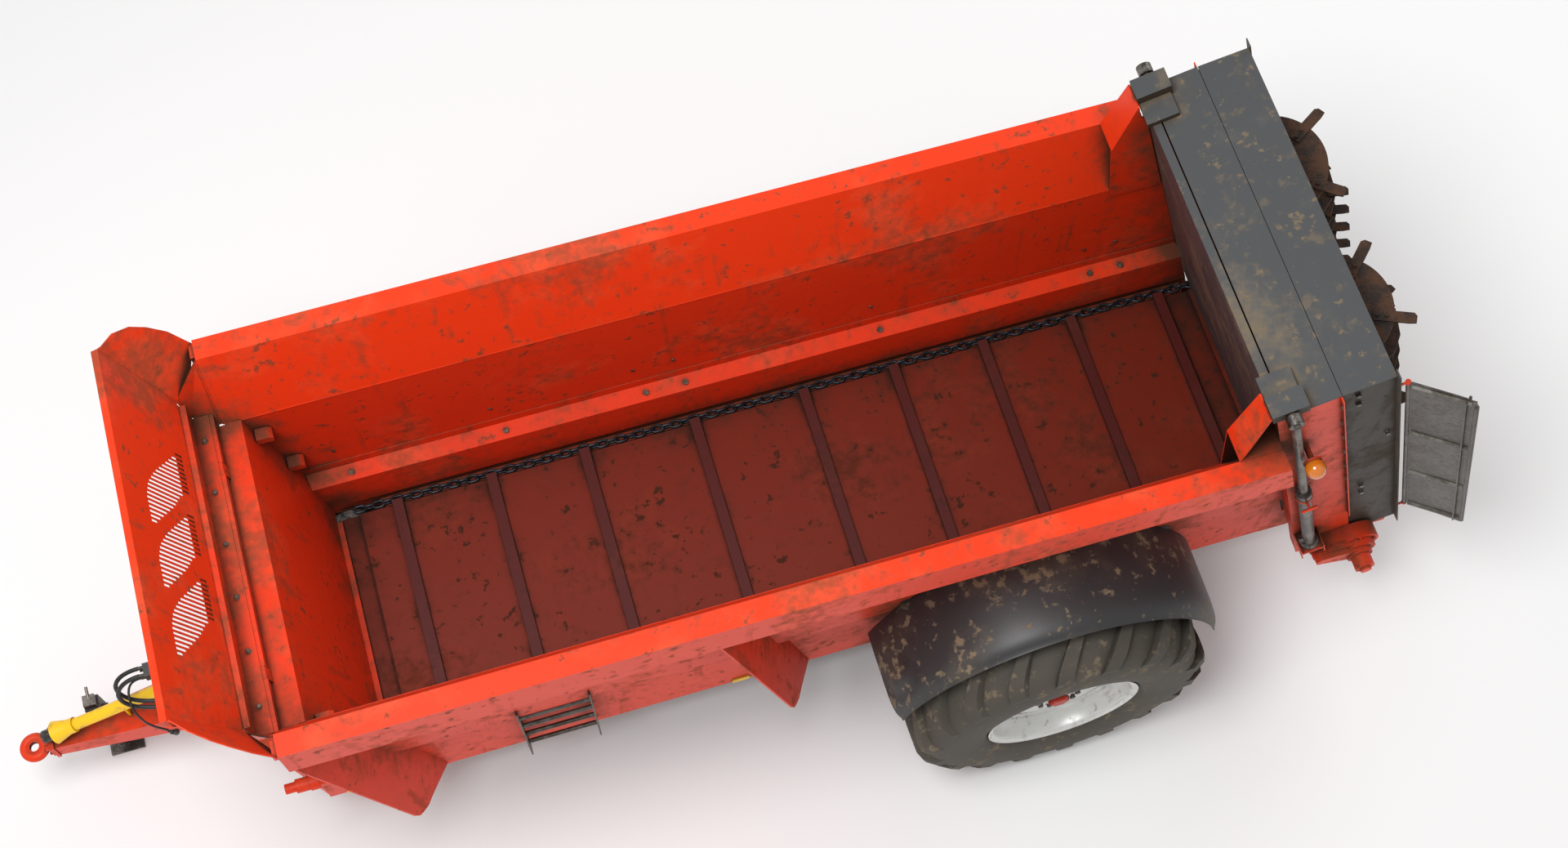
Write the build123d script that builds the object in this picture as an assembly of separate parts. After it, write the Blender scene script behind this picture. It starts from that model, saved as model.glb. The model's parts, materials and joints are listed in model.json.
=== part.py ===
"""Rear-discharge manure spreader trailer: a flared box on one axle with a chain and slat floor,
a lifting slurry door and two upright beaters that lean forward at the top.

Millimetres. +X is forward (the towing end), +Y is left and +Z is up.  The model is laid out with X = 0 at
the axle and Z = 0 at the ground, and moved along X at the end so that the origin is below the middle of it.
"""
import math
import os

from build123d import *

# ---- driving dimensions -------------------------------------------------------------------------------
# box
BOX_HALF_WIDTH = 760        # inner face of the lower side wall
RAIL_INNER = 910            # inner edge of the top rail
RAIL_WIDTH = 105
RAIL_TOP = 2466
RAIL_DEPTH = 240            # height of the rail's outer face
FOLD_Z = 2057               # where the side wall starts to flare
RAIL_FRONT = 3585
GUSSET_X = -783             # front of the gusset between rail and rear unit
SHEET = 6                   # side wall, floor and guard sheet
PLATE = 8                   # structural plate
FLOOR_TOP = 926
FLOOR_FRONT = 3170
FLOOR_REAR = -1265
FLOOR_HALF_WIDTH = 622
# chassis
CHASSIS_TOP = 866
CHASSIS_BOTTOM = 612
CHASSIS_OUTER = 700
CHASSIS_FLANGE = 60
CHASSIS_FRONT = 3660
CHASSIS_REAR = -1990
CROSS_TUBE = 50
CROSS_SPACING = 700
BEAM_DEPTH = 90             # fore and aft size of the chassis beams
UPRIGHT_X = 3380            # foot of the headboard's uprights
UPRIGHT_Y = 480
UPRIGHT_WIDTH = 60
# running gear
TYRE_RADIUS = 775
TYRE_WIDTH = 600
RIM_RADIUS = 400
RIM_PLANE = 1383            # outer flange of the rim
TYRE_BULGE = 35             # how far the sidewall stands out past the rim
AXLE_SIZE = 120
SPINDLE_RADIUS = 30
HUB_FACE = 1330
FIT = 0.08                  # radial clearance of a running fit
CLEAR = 0.3                 # gap between bodies that pass each other
# chain and slats
CHAIN_Y = 652
CHAIN_PITCH = 50
CHAIN_WIRE = 14
LINK_SLOT = 20
SPROCKET_TEETH = 8
DRIVE_X = -1560
IDLER_X = 3230
SLAT_WIDTH = 54
SLAT_HEIGHT = 20
FIRST_SLAT = 2967
SLAT_GAPS = [5, 5, 6, 6, 5, 5, 5, 5]      # in links laid flat
TRACK_TOP = 896
# headboard and screen
HEAD_TOP = 2060
HEAD_TOP_X = 3498
HEAD_SLOPE = 0.1845         # forward lean, X over Z
HEAD_LEDGE = 112
SCREEN_LOW = (3729, 812, 2314)
SCREEN_HIGH = (3917, 866, 2869)
SCREEN_LEDGE_Z = 2137
SCREEN_LEDGE = (3630, 3706)
# rear unit: N runs rearward and H upward, both leaning with the unit
REAR_LEAN = 15.5
REAR_ORIGIN = (-953, 0, 2620)
DOOR_THICKNESS = 40
DOOR_TOP = 150
DOOR_HALF_WIDTH = 783
DOOR_LIFT = 800
HOOD_SEAM = 290
HOOD_REAR = 546
HOOD_SEAM_H = 146
HOOD_REAR_H = 132
REAR_HALF_WIDTH = 865
REAR_BOTTOM_H = -2060
BEATER_N = 432
BEATER_Y = 387
BEATER_TIP = 372
DISC_RADIUS = 273
DISC_H = -140
BEATER_LOW_H = -1730
BEATER_TUBE = 78
BEATER_PADDLES = 5
PAN_H = -1790
CYLINDER_Y = 925
CYLINDER_N = 60
BARREL_RADIUS = 32
ROD_RADIUS = 22
FLAP_WIDTH = 310
FLAP_LENGTH = 1906
FLAP_ANGLE = 40             # outward from straight behind
FLAP_HINGE = (579, 893, 78)
# towing end
EYE_X = 5069
EYE_Z = 558
EYE_RING = 26               # radius of the ring's bar
EYE_BORE = 25
PTO_FRONT = (4985, 0, 672)
PTO_REAR_X = 3920
PTO_SLOPE = -0.342
SHAFT_Z = 556               # long shaft under the floor
SHAFT_RADIUS = 30
LEG = (4736, -122)          # parking leg, X and Y
LEG_SIZE = 60
HOLDER = (4289, 0, 1187)
HOLDER_SIZE = (80, 70, 66)

LINK_PAIR = 2 * CHAIN_PITCH
SPROCKET_PITCH_R = LINK_PAIR / (2 * math.sin(math.pi / SPROCKET_TEETH))
CHAIN_TOP_Z = TRACK_TOP + (LINK_SLOT + 2 * CHAIN_WIRE) / 2 + 1
DRIVE_Z = CHAIN_TOP_Z - SPROCKET_PITCH_R
CHAIN_LOW_Z = DRIVE_Z - SPROCKET_PITCH_R
TYRE_Y = RIM_PLANE + TYRE_BULGE - TYRE_WIDTH / 2
AXLE_Z = TYRE_RADIUS

LEAN_SIN = math.sin(math.radians(REAR_LEAN))
LEAN_COS = math.cos(math.radians(REAR_LEAN))
UP = Vector(LEAN_SIN, 0, LEAN_COS)
BACK = Vector(-LEAN_COS, 0, LEAN_SIN)
LEFT = Vector(0, 1, 0)


# ---- helpers ------------------------------------------------------------------------------------------
def box(x, y, z):
    """A block between pairs of limits."""
    size = [abs(b - a) for a, b in (x, y, z)]
    centre = [(a + b) / 2 for a, b in (x, y, z)]
    return Solid.make_box(*size).moved(Location([c - s / 2 for c, s in zip(centre, size)]))


def slab(points, way):
    """A flat polygon given by its corners, thickened along a vector."""
    return Solid.extrude(Face(Wire.make_polygon([Vector(*p) for p in points], close=True)), Vector(*way))


def rod(start, end, radius, bore=0):
    """A round bar or tube between two points."""
    start, end = Vector(*start), Vector(*end)
    plane = Plane(start, z_dir=end - start)
    length = (end - start).length
    bar = Solid.make_cylinder(radius, length, plane)
    return bar - Solid.make_cylinder(bore, length, plane) if bore else bar


def both(shape):
    """A shape and its mirror image on the other side."""
    return [shape, shape.mirror(Plane.XZ)]


def fuse(*shapes):
    """One solid out of pieces that are welded or cast together."""
    whole = shapes[0]
    for shape in shapes[1:]:
        whole = whole + shape
    return whole


def rear(n, y, h):
    """A point of the rear unit: n behind the door's front face, h up along the lean."""
    return Vector(*REAR_ORIGIN) + BACK * n + LEFT * y + UP * h


def rear_box(n, y, h):
    """A block that leans with the rear unit."""
    corners = [rear(n[0], y[0], h[0]), rear(n[1], y[0], h[0]), rear(n[1], y[0], h[1]), rear(n[0], y[0], h[1])]
    return slab(corners, LEFT * (y[1] - y[0]))


def rear_x(n, z):
    """X of the leaning plane n behind the door's face, at a height."""
    h = (z - REAR_ORIGIN[2] - n * LEAN_SIN) / LEAN_COS
    return rear(n, 0, h).X


def head_x(z):
    """X of the headboard's inner face at a height."""
    return HEAD_TOP_X - HEAD_SLOPE * (HEAD_TOP - z)


def hexbolt(at, way, across, height, shank=6, grip=0):
    """A hexagon head standing on a surface, with its washer."""
    plane = Plane(Vector(*at), z_dir=Vector(*way))
    washer = Solid.make_cylinder(across * 0.62, height * 0.2, plane)
    head = Solid.extrude((plane.offset(height * 0.2) * RegularPolygon(across / 2, 6, major_radius=False)).face(),
                         plane.z_dir * height)
    return fuse(washer, head)


# ---- chassis and running gear -------------------------------------------------------------------------
def chassis_rails():
    """Two channel rails opening inward, with the strips that the chain slides on."""
    inner = CHASSIS_OUTER - CHASSIS_FLANGE
    rail = fuse(
        box((CHASSIS_REAR, CHASSIS_FRONT), (CHASSIS_OUTER - PLATE, CHASSIS_OUTER), (CHASSIS_BOTTOM, CHASSIS_TOP)),
        box((CHASSIS_REAR, CHASSIS_FRONT), (inner, CHASSIS_OUTER), (CHASSIS_BOTTOM, CHASSIS_BOTTOM + PLATE)),
        box((CHASSIS_REAR, CHASSIS_FRONT), (inner, CHASSIS_OUTER), (CHASSIS_TOP - PLATE, CHASSIS_TOP)))
    for x, radius in ((DRIVE_X, BEARING_R), (IDLER_X, BEARING_R)):
        rail -= rod((x, inner - 5, DRIVE_Z), (x, CHASSIS_OUTER + 5, DRIVE_Z), radius)
        notch = SPROCKET_PITCH_R + 40
        rail -= box((x - notch, x + notch), (inner - 5, CHASSIS_OUTER - PLATE - 1), (CHASSIS_TOP - 20, CHASSIS_TOP + 1))
        rail -= box((x - notch, x + notch), (inner - 5, CHASSIS_OUTER - PLATE - 1), (CHASSIS_BOTTOM - 1, CHASSIS_BOTTOM + 20))
    half = AXLE_SIZE / 2
    rail -= box((-half, half), (inner - 5, CHASSIS_OUTER + 5), (AXLE_Z - half, AXLE_Z + half))
    edge = SPROCKET_PITCH_R + 45
    strip = box((DRIVE_X + edge, IDLER_X - edge), (inner, CHASSIS_OUTER - PLATE), (CHASSIS_TOP, TRACK_TOP))
    return both(rail) + both(strip)


BEARING_R = 45


def cross_members():
    """Tubes between the rails, the bearers that they hold up the floor with, and three deep beams."""
    inside = CHASSIS_OUTER - PLATE
    under = FLOOR_TOP - SHEET
    top = CHASSIS_TOP - PLATE
    parts = []
    x = FLOOR_FRONT - 150
    while x > FLOOR_REAR:
        parts.append(box((x - CROSS_TUBE, x), (-inside, inside), (top - CROSS_TUBE, top))
                     - box((x - CROSS_TUBE + 4, x - 4), (-inside, inside), (top - CROSS_TUBE + 4, top - 4)))
        parts.append(box((x - CROSS_TUBE + 8, x - 8), (-600, 600), (top, under)))
        x -= CROSS_SPACING
    for x0 in (CHASSIS_FRONT - BEAM_DEPTH, UPRIGHT_X + 60 - BEAM_DEPTH, REAR_BEAM_X):
        beam = box((x0, x0 + BEAM_DEPTH), (-inside, inside), (CHASSIS_BOTTOM + PLATE, top))
        hollow = box((x0 + PLATE, x0 + BEAM_DEPTH - PLATE), (-inside, inside), (CHASSIS_BOTTOM + 2 * PLATE, top - PLATE))
        parts.append(beam - hollow)
    return parts + bottom_plates()


def axle_beam():
    """Square beam through the rails with a spindle at each end."""
    half = AXLE_SIZE / 2
    end = TYRE_Y - 150
    beam = box((-half, half), (-end, end), (AXLE_Z - half, AXLE_Z + half))
    spindles = [rod((0, s * (end - 20), AXLE_Z), (0, s * (HUB_FACE - 25), AXLE_Z), SPINDLE_RADIUS) for s in (1, -1)]
    return [fuse(beam, *spindles)]


def spun(profile, side):
    """A profile of (radius, y) points turned about the axle line."""
    points = [Vector(r, y * side, AXLE_Z) for r, y in profile]
    face = Face(Wire.make_polygon(points, close=True))
    return Solid.revolve(face, 360, Axis((0, 0, AXLE_Z), (0, 1, 0)))


def tyre(side):
    """Hollow tyre with round shoulders, open towards the rim."""
    r, w = TYRE_RADIUS, TYRE_WIDTH / 2
    seat = RIM_RADIUS - 26
    outer = [(seat + 0.6, w - 54), (RIM_RADIUS + 4, w - 44), (seat + 60, w - 14), (seat + 200, w), (r - 105, w - 8), (r - 45, w - 40),
             (r - 8, w - 130), (r, 0)]
    wall = [(r - 50, 0), (r - 58, w - 140), (r - 90, w - 70), (r - 130, w - 36), (seat + 200, w - 26),
            (seat + 60, w - 42), (seat + 0.6, w - 76)]
    half = [(a, TYRE_Y + b) for a, b in outer]
    other = [(a, TYRE_Y - b) for a, b in reversed(outer[:-1])]
    back = [(a, TYRE_Y - b) for a, b in reversed(wall[1:])]
    front = [(a, TYRE_Y + b) for a, b in wall]
    return [spun(half + other + back + front, side)]


def rim(side):
    """Steel rim with flanges, a well and a dished disc."""
    out, inn = RIM_PLANE, 2 * TYRE_Y - RIM_PLANE
    seat, flange, t = RIM_RADIUS - 26, RIM_RADIUS, 8
    well = seat - 38
    disc_y = HUB_FACE - 42
    barrel = [(flange, out), (flange, out - t), (seat, out - t - 6), (seat - 2, out - 70), (well, out - 120),
              (well, inn + 120), (seat - 2, inn + 70), (seat, inn + t + 6), (flange, inn + t), (flange, inn),
              (flange - t, inn), (seat - t, inn + 10), (seat - t - 2, inn + 74), (well - t, inn + 124),
              (well - t, out - 124), (seat - t - 2, out - 74), (seat - t, out - 10), (flange - t, out)]
    disc = [(well - t + 2, disc_y - 70), (well - t + 2, disc_y - 56), (well - 70, disc_y - 40), (210, disc_y + 14),
            (HUB_PLATE + 1, disc_y + 14), (HUB_PLATE + 1, disc_y), (205, disc_y), (well - 75, disc_y - 54)]
    return [fuse(spun(barrel, side), spun(disc, side))]


HUB_PLATE = 130


def hub(side):
    """Hub on its spindle, with the wheel plate, nuts and cap."""
    disc_y = HUB_FACE - 42
    bore = SPINDLE_RADIUS + FIT
    start = TYRE_Y - 150 + 1
    body = [(bore, start), (90, start), (90, start + 60), (70, start + 70), (70, disc_y - 30), (HUB_PLATE, disc_y - 30),
            (HUB_PLATE, disc_y + 14), (60, disc_y + 14), (56, HUB_FACE), (0, HUB_FACE), (0, HUB_FACE - 24), (bore, HUB_FACE - 24)]
    pieces = [spun(body, side)]
    for i in range(10):
        a = math.radians(36 * i)
        at = (105 * math.cos(a), side * (disc_y + 14), AXLE_Z + 105 * math.sin(a))
        pieces.append(hexbolt(at, (0, side, 0), 24, 18))
    return [fuse(*pieces)]


# ---- box ----------------------------------------------------------------------------------------------
def behind(n):
    """Everything behind the leaning plane at n, to cut pieces that end at the rear unit."""
    low, high = CHASSIS_BOTTOM - 50, RAIL_TOP + 50
    back = rear_x(n, low) - 1200
    return slab([(rear_x(n, low), -1100, low), (rear_x(n, high), -1100, high), (back, -1100, high), (back, -1100, low)],
                (0, 2200, 0))


def side_wall():
    """Left wall: lower panel, step, upright sheet, flare, flat rail and its turned-down outer face."""
    outer = RAIL_INNER + RAIL_WIDTH
    lip = RAIL_TOP - RAIL_DEPTH
    t = SHEET
    foot = CHASSIS_OUTER - t
    inside = [(foot, CHASSIS_TOP), (foot, GUARD_SHOULDER - 10), (BOX_HALF_WIDTH, GUARD_HIGH - 14), (BOX_HALF_WIDTH, FOLD_Z),
              (RAIL_INNER, RAIL_TOP), (outer, RAIL_TOP), (outer, lip), (outer - 45, lip)]
    outside = [(outer - 45, lip + t), (outer - t, lip + t), (outer - t, RAIL_TOP - t), (RAIL_INNER + 4, RAIL_TOP - t),
               (BOX_HALF_WIDTH + t, FOLD_Z - 1), (BOX_HALF_WIDTH + t, GUARD_HIGH - 20), (foot + t, GUARD_SHOULDER - 16),
               (foot + t, CHASSIS_TOP)]
    front, back = RAIL_FRONT, rear_x(0, CHASSIS_TOP)
    wall = slab([(front, y, z) for y, z in inside + outside], (back - front, 0, 0)) - behind(-4)
    # the front edge of the lower part follows the headboard
    low = CHASSIS_TOP - 10
    front_cut = [(head_x(low) + 60, 0, low), (head_x(HEAD_TOP) + 60, 0, HEAD_TOP), (front + 100, 0, HEAD_TOP),
                 (front + 100, 0, low)]
    return [wall - slab(front_cut, (0, BOX_HALF_WIDTH + 3 * t, 0))]


GUARD_HIGH = 1280
GUARD_LOW = 955
GUARD_FACE = 683
GUARD_SHOULDER = 1232


def chain_guards():
    """Folded sheets that shed the load off the chains: a sloping ledge and an upright face."""
    t = SHEET
    wall = BOX_HALF_WIDTH - CLEAR
    profile = [(wall, GUARD_HIGH + 60), (wall - t, GUARD_HIGH + 60), (wall - t, GUARD_HIGH), (GUARD_FACE, GUARD_SHOULDER),
               (GUARD_FACE, GUARD_LOW), (GUARD_FACE + t, GUARD_LOW), (GUARD_FACE + t, GUARD_SHOULDER - 4),
               (wall, GUARD_HIGH - 7)]
    high = GUARD_HIGH + 70
    front, back = head_x(high), rear_x(0, GUARD_LOW)
    guard = slab([(front, y, z) for y, z in profile], (back - front, 0, 0)) - behind(-4)
    fronts = [(head_x(GUARD_LOW), 0, GUARD_LOW), (head_x(high), 0, high), (front + 300, 0, high), (front + 300, 0, GUARD_LOW)]
    return both(guard - slab(fronts, (0, 900, 0)))


def wall_bolts():
    """Hexagon bolts on the guard ledges and round-headed ones on the walls above."""
    edge = BOX_HALF_WIDTH - CLEAR - SHEET
    slope = Vector(0, -(GUARD_HIGH - GUARD_SHOULDER), edge - GUARD_FACE).normalized()
    y, z = (edge + GUARD_FACE) / 2, (GUARD_HIGH + GUARD_SHOULDER) / 2
    parts = []
    for x in BOLT_X:
        parts += both(hexbolt((x, y, z), slope, 24, 13))
        parts += both(rod((x + 45, BOX_HALF_WIDTH, WALL_BOLT_Z), (x + 45, BOX_HALF_WIDTH - 7, WALL_BOLT_Z), 9))
    return parts


BOLT_X = [3130, 2330, 1590, 1380, 330, -830, -1000]
WALL_BOLT_Z = 1470


def floor_plate():
    """Floor sheet with edges turned down to the chain tracks."""
    plate = box((FLOOR_REAR, FLOOR_FRONT), (-FLOOR_HALF_WIDTH, FLOOR_HALF_WIDTH), (FLOOR_TOP - SHEET, FLOOR_TOP))
    clear = SPROCKET_PITCH_R + 70
    lips = [box((FLOOR_REAR, FLOOR_FRONT - clear), (s * (FLOOR_HALF_WIDTH - SHEET), s * FLOOR_HALF_WIDTH),
                (CHASSIS_TOP + 4, FLOOR_TOP)) for s in (1, -1)]
    aprons = []
    for x0, x1 in ((FLOOR_FRONT, head_x(FLOOR_TOP) - 4), (APRON_REAR, FLOOR_REAR)):
        aprons.append(box((x0, x1), (-FLOOR_HALF_WIDTH, FLOOR_HALF_WIDTH), (FLOOR_TOP - 4 * SHEET, FLOOR_TOP - 3 * SHEET)))
        edge = x0 if x0 == FLOOR_FRONT else x1 - SHEET
        aprons.append(box((edge, edge + SHEET), (-FLOOR_HALF_WIDTH, FLOOR_HALF_WIDTH), (FLOOR_TOP - 4 * SHEET, FLOOR_TOP - SHEET)))
    strip = box((APRON_REAR, APRON_REAR + 45), (-FLOOR_HALF_WIDTH, FLOOR_HALF_WIDTH), (FLOOR_TOP - 4 * SHEET, FLOOR_TOP))
    return [fuse(plate, *lips, aprons[0], aprons[1]), fuse(aprons[2], aprons[3], strip)]


APRON_REAR = -1450


def bottom_plates():
    """Plates under the rails that close the space below the two chain shafts."""
    z = CHASSIS_BOTTOM
    return [box((x0, x1), (-CHASSIS_OUTER, CHASSIS_OUTER), (z - SHEET, z))
            for x0, x1 in ((IDLER_X - 200, UPRIGHT_X + 60), (REAR_BEAM_X, DRIVE_X + 200))]


def headboard():
    """Leaning front wall with a top ledge, two rounded tabs a side and the uprights behind it."""
    t = SHEET
    low = FLOOR_TOP + 12
    half = BOX_HALF_WIDTH - CLEAR
    panel = slab([(head_x(low), -half, low), (head_x(low) + t, -half, low), (HEAD_TOP_X + t, -half, HEAD_TOP - t),
                  (HEAD_TOP_X + HEAD_LEDGE - t, -half, HEAD_TOP - t - 8), (HEAD_TOP_X + HEAD_LEDGE - t, -half, HEAD_TOP - 90),
                  (HEAD_TOP_X + HEAD_LEDGE, -half, HEAD_TOP - 90), (HEAD_TOP_X + HEAD_LEDGE, -half, HEAD_TOP - 8),
                  (head_x(HEAD_TOP + 6), -half, HEAD_TOP + 6)], (0, 2 * half, 0))
    neck = CHASSIS_OUTER - t - CLEAR
    for side in (1, -1):
        cut = [(neck, low - 10), (neck, GUARD_SHOULDER - 9.5), (half + 1, GUARD_HIGH - 13), (half + 40, GUARD_HIGH - 13),
               (half + 40, low - 10)]
        panel -= slab([(HEAD_TOP_X - 400, side * y, z) for y, z in cut], (800, 0, 0))
    lip = box((head_x(low) - 26, head_x(low) + t), (-600, 600), (low, low + t))
    tabs = []
    for z in (HEAD_TOP - 170, HEAD_TOP - 560):
        face = head_x(z)
        for s in (1, -1):
            tab = slab([(face - 78, s * (half - 4), z - 4), (face + 2, s * (half - 4), z - 4), (face + 2, s * (half - 4), z + 44),
                        (face - 60, s * (half - 4), z + 44), (face - 78, s * (half - 4), z + 26)], (0, -s * 60, 0))
            tabs.append(tab)
    board = fuse(panel, lip, *tabs)
    foot = UPRIGHT_X
    lean = HEAD_SLOPE * (SCREEN_LEDGE_Z - SHEET - CHASSIS_TOP)
    uprights = []
    for s in (1, -1):
        y0 = s * UPRIGHT_Y
        uprights.append(slab([(foot, y0, CHASSIS_TOP - PLATE), (foot + 56, y0, CHASSIS_TOP - PLATE),
                              (foot + 56 + lean, y0, SCREEN_LEDGE_Z - t), (foot + lean, y0, SCREEN_LEDGE_Z - t)],
                             (0, s * UPRIGHT_WIDTH, 0)))
        web = [(head_x(1500) + t, y0, 1500), (foot + HEAD_SLOPE * (1500 - CHASSIS_TOP), y0, 1500),
               (foot + HEAD_SLOPE * (1400 - CHASSIS_TOP), y0, 1400), (head_x(1400) + t, y0, 1400)]
        uprights.append(slab(web, (0, s * PLATE, 0)))
    return [fuse(board, *uprights)]


def screen_point(u, v, depth=0.0):
    """A point on the screen: u across in mm, v from 0 at its lower edge to 1 at the top, depth forward."""
    x = SCREEN_LOW[0] + v * (SCREEN_HIGH[0] - SCREEN_LOW[0])
    z = SCREEN_LOW[2] + v * (SCREEN_HIGH[2] - SCREEN_LOW[2])
    along = Vector(SCREEN_HIGH[0] - SCREEN_LOW[0], 0, SCREEN_HIGH[2] - SCREEN_LOW[2]).normalized()
    out = Vector(along.Z, 0, -along.X)
    return Vector(x, u, z) + out * depth


WINDOWS = [-285, 20, 334]    # middle of each window, across the screen
WINDOW_REACH = 228           # from the middle to either tip of the leaning window
WINDOW_V = (0.09, 0.70)
BACKING_V = 0.16             # top of the strip behind the slots' lower ends
SLOTS = 20
SLOT_HALF = 7


def wing_sides():
    """Corners of the two flat plates that close the side between the ledge and the rail."""
    corner = (RAIL_FRONT + 4, BOX_HALF_WIDTH + SHEET, FOLD_Z + 8)
    foot, high = (SCREEN_LEDGE[1], SCREEN_LOW[1] - 14, SCREEN_LEDGE_Z - 4), (RAIL_FRONT + 4, RAIL_INNER, RAIL_TOP - 8)
    return [foot, SCREEN_LOW, high], [foot, high, corner]


def front_screen():
    """Leaning screen: a sheet with three slotted windows, a flanged top and a stepped lower ledge."""
    t = SHEET
    low, high = SCREEN_LOW[1], SCREEN_HIGH[1]
    corners = [screen_point(-low, 0), screen_point(low, 0), screen_point(high, 1), screen_point(-high, 1)]
    out = screen_point(0, 0, t) - screen_point(0, 0)
    sheet = slab([tuple(c) for c in corners], out)
    v0, v1 = WINDOW_V
    for middle in WINDOWS:
        for i in range(SLOTS):
            off = -WINDOW_REACH + (i + 0.5) * 2 * WINDOW_REACH / SLOTS
            rise = (v1 - BACKING_V) * off / WINDOW_REACH
            corner = 0.05 * max(0, 1 - abs(off) / 70)
            high_v = min(v1, v1 + rise) - corner
            low_v = v0 if off < -20 else BACKING_V + rise + corner
            if high_v - low_v < 0.05:
                continue
            u = middle + off
            hole = [screen_point(u - SLOT_HALF, low_v, -2), screen_point(u + SLOT_HALF, low_v, -2),
                    screen_point(u + SLOT_HALF, high_v, -2), screen_point(u - SLOT_HALF, high_v, -2)]
            sheet -= slab([tuple(c) for c in hole], out.normalized() * (t + 4))
    strip = slab([tuple(screen_point(y, v, t)) for y, v in ((-low + 8, 0.01), (low - 8, 0.01), (low - 8, BACKING_V), (-low + 8, BACKING_V))],
                 out.normalized() * 3)
    top = slab([tuple(screen_point(-high, 1)), tuple(screen_point(high, 1)), tuple(screen_point(high, 1, 34)),
                tuple(screen_point(-high, 1, 34))], UPRIGHT * t)
    a, b = SCREEN_LEDGE
    half = SCREEN_LOW[1] - 20
    ledge = slab([(a, -half, SCREEN_LEDGE_Z), (b, -half, SCREEN_LEDGE_Z), (SCREEN_LOW[0], -half, SCREEN_LOW[2]),
                  (SCREEN_LOW[0] + t, -half, SCREEN_LOW[2]), (b + t, -half, SCREEN_LEDGE_Z - t), (a, -half, SCREEN_LEDGE_Z - t)],
                 (0, 2 * half, 0))
    rib = box((SCREEN_LOW[0] - 30, SCREEN_LOW[0] + 2), (-half, half), (SCREEN_LOW[2] - 26, SCREEN_LOW[2] - 20))
    x = HEAD_TOP_X + HEAD_LEDGE + CLEAR
    sill = fuse(box((x, x + t), (-half, half), (HEAD_TOP - 60, SCREEN_LEDGE_Z - t)),
                box((x, a + 10), (-half, half), (SCREEN_LEDGE_Z - 2 * t, SCREEN_LEDGE_Z - t)))
    for s in (1, -1):
        sill -= box((x - 5, a + 20), (s * (UPRIGHT_Y - 1), s * (UPRIGHT_Y + UPRIGHT_WIDTH + 1)), (HEAD_TOP - 70, SCREEN_LEDGE_Z - t))
        for corner in wing_sides():
            beyond = slab([(px, s * (py - CLEAR), pz) for px, py, pz in corner], (0, s * 120, 0))
            ledge, sill, rib = ledge - beyond, sill - beyond, rib - beyond
    return [fuse(sheet, strip, top, ledge, rib, sill)]


UPRIGHT = Vector(SCREEN_HIGH[0] - SCREEN_LOW[0], 0, SCREEN_HIGH[2] - SCREEN_LOW[2]).normalized()


def screen_wings():
    """Curved corner plates that tie the screen to the front of the side rails."""
    top, low = Vector(*SCREEN_HIGH), Vector(*SCREEN_LOW)
    tip = Vector(RAIL_FRONT + 5, RAIL_INNER + RAIL_WIDTH - 4, RAIL_TOP - 20)
    normal = (top - low).cross(tip - low).normalized()
    bulge = [Vector(3828, 905, 2872), Vector(3745, 935, 2822), Vector(3688, 958, 2740), Vector(3632, 985, 2620)]
    flat = [p - normal * (p - low).dot(normal) for p in bulge]
    inner = Vector(RAIL_FRONT + 8, RAIL_INNER - 20, RAIL_TOP - 90)
    inner = inner - normal * (inner - low).dot(normal)
    edge = [top + (flat[0] - top) * 0.02, *flat, tip, inner, low]
    wing = slab([tuple(p) for p in edge], normal * SHEET)
    lug = rod(tuple(top + Vector(-6, 4, -40)), tuple(top + Vector(-6, 22, -40)), 16)
    bracket = box((RAIL_FRONT - 8, RAIL_FRONT + 22), (RAIL_INNER + 20, RAIL_INNER + RAIL_WIDTH - 10), (RAIL_TOP - 60, RAIL_TOP - 12))
    side = [slab(corners, (0, PLATE, 0)) for corners in wing_sides()]
    return both(fuse(wing, lug, bracket, *side))


FIN_LEAN = 0.26
FIN_SWEEP = 0.328
FINS = [3051, 1137]         # X where each fin meets the chassis


def side_fins():
    """Swept gusset plates from the chassis up to the top rail, two a side."""
    parts = []
    low, lip = CHASSIS_BOTTOM + 18, RAIL_TOP - RAIL_DEPTH
    wall, sill = BOX_HALF_WIDTH + SHEET + CLEAR, CHASSIS_OUTER + CLEAR
    reach = RAIL_INNER + RAIL_WIDTH - 8
    slope = 206 / (reach - 48 - sill)
    outline = [(sill, low), (reach - 130, low + slope * (reach - 130 - sill)), (reach - 72, low + slope * (reach - 82 - sill)),
               (reach - 34, low + 226), (reach - 10, low + 262), (reach, low + 318),
               (reach, lip), (wall + 80, lip), (wall, FOLD_Z - 30), (wall, GUARD_HIGH - 22), (sill, GUARD_SHOULDER - 22)]
    for x0 in FINS:
        corners = [(x0 + FIN_LEAN * (z - low) + FIN_SWEEP * (y - CHASSIS_OUTER), y, z) for y, z in outline]
        parts += both(slab(corners, (PLATE * 1.1, 0, 0)))
    return parts


STEP_X = (2265, 2623)
STEP_Y = (740, 790)
STEP_Z = (650, 1372)
RUNGS = [1236, 1099, 962, 817]


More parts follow.
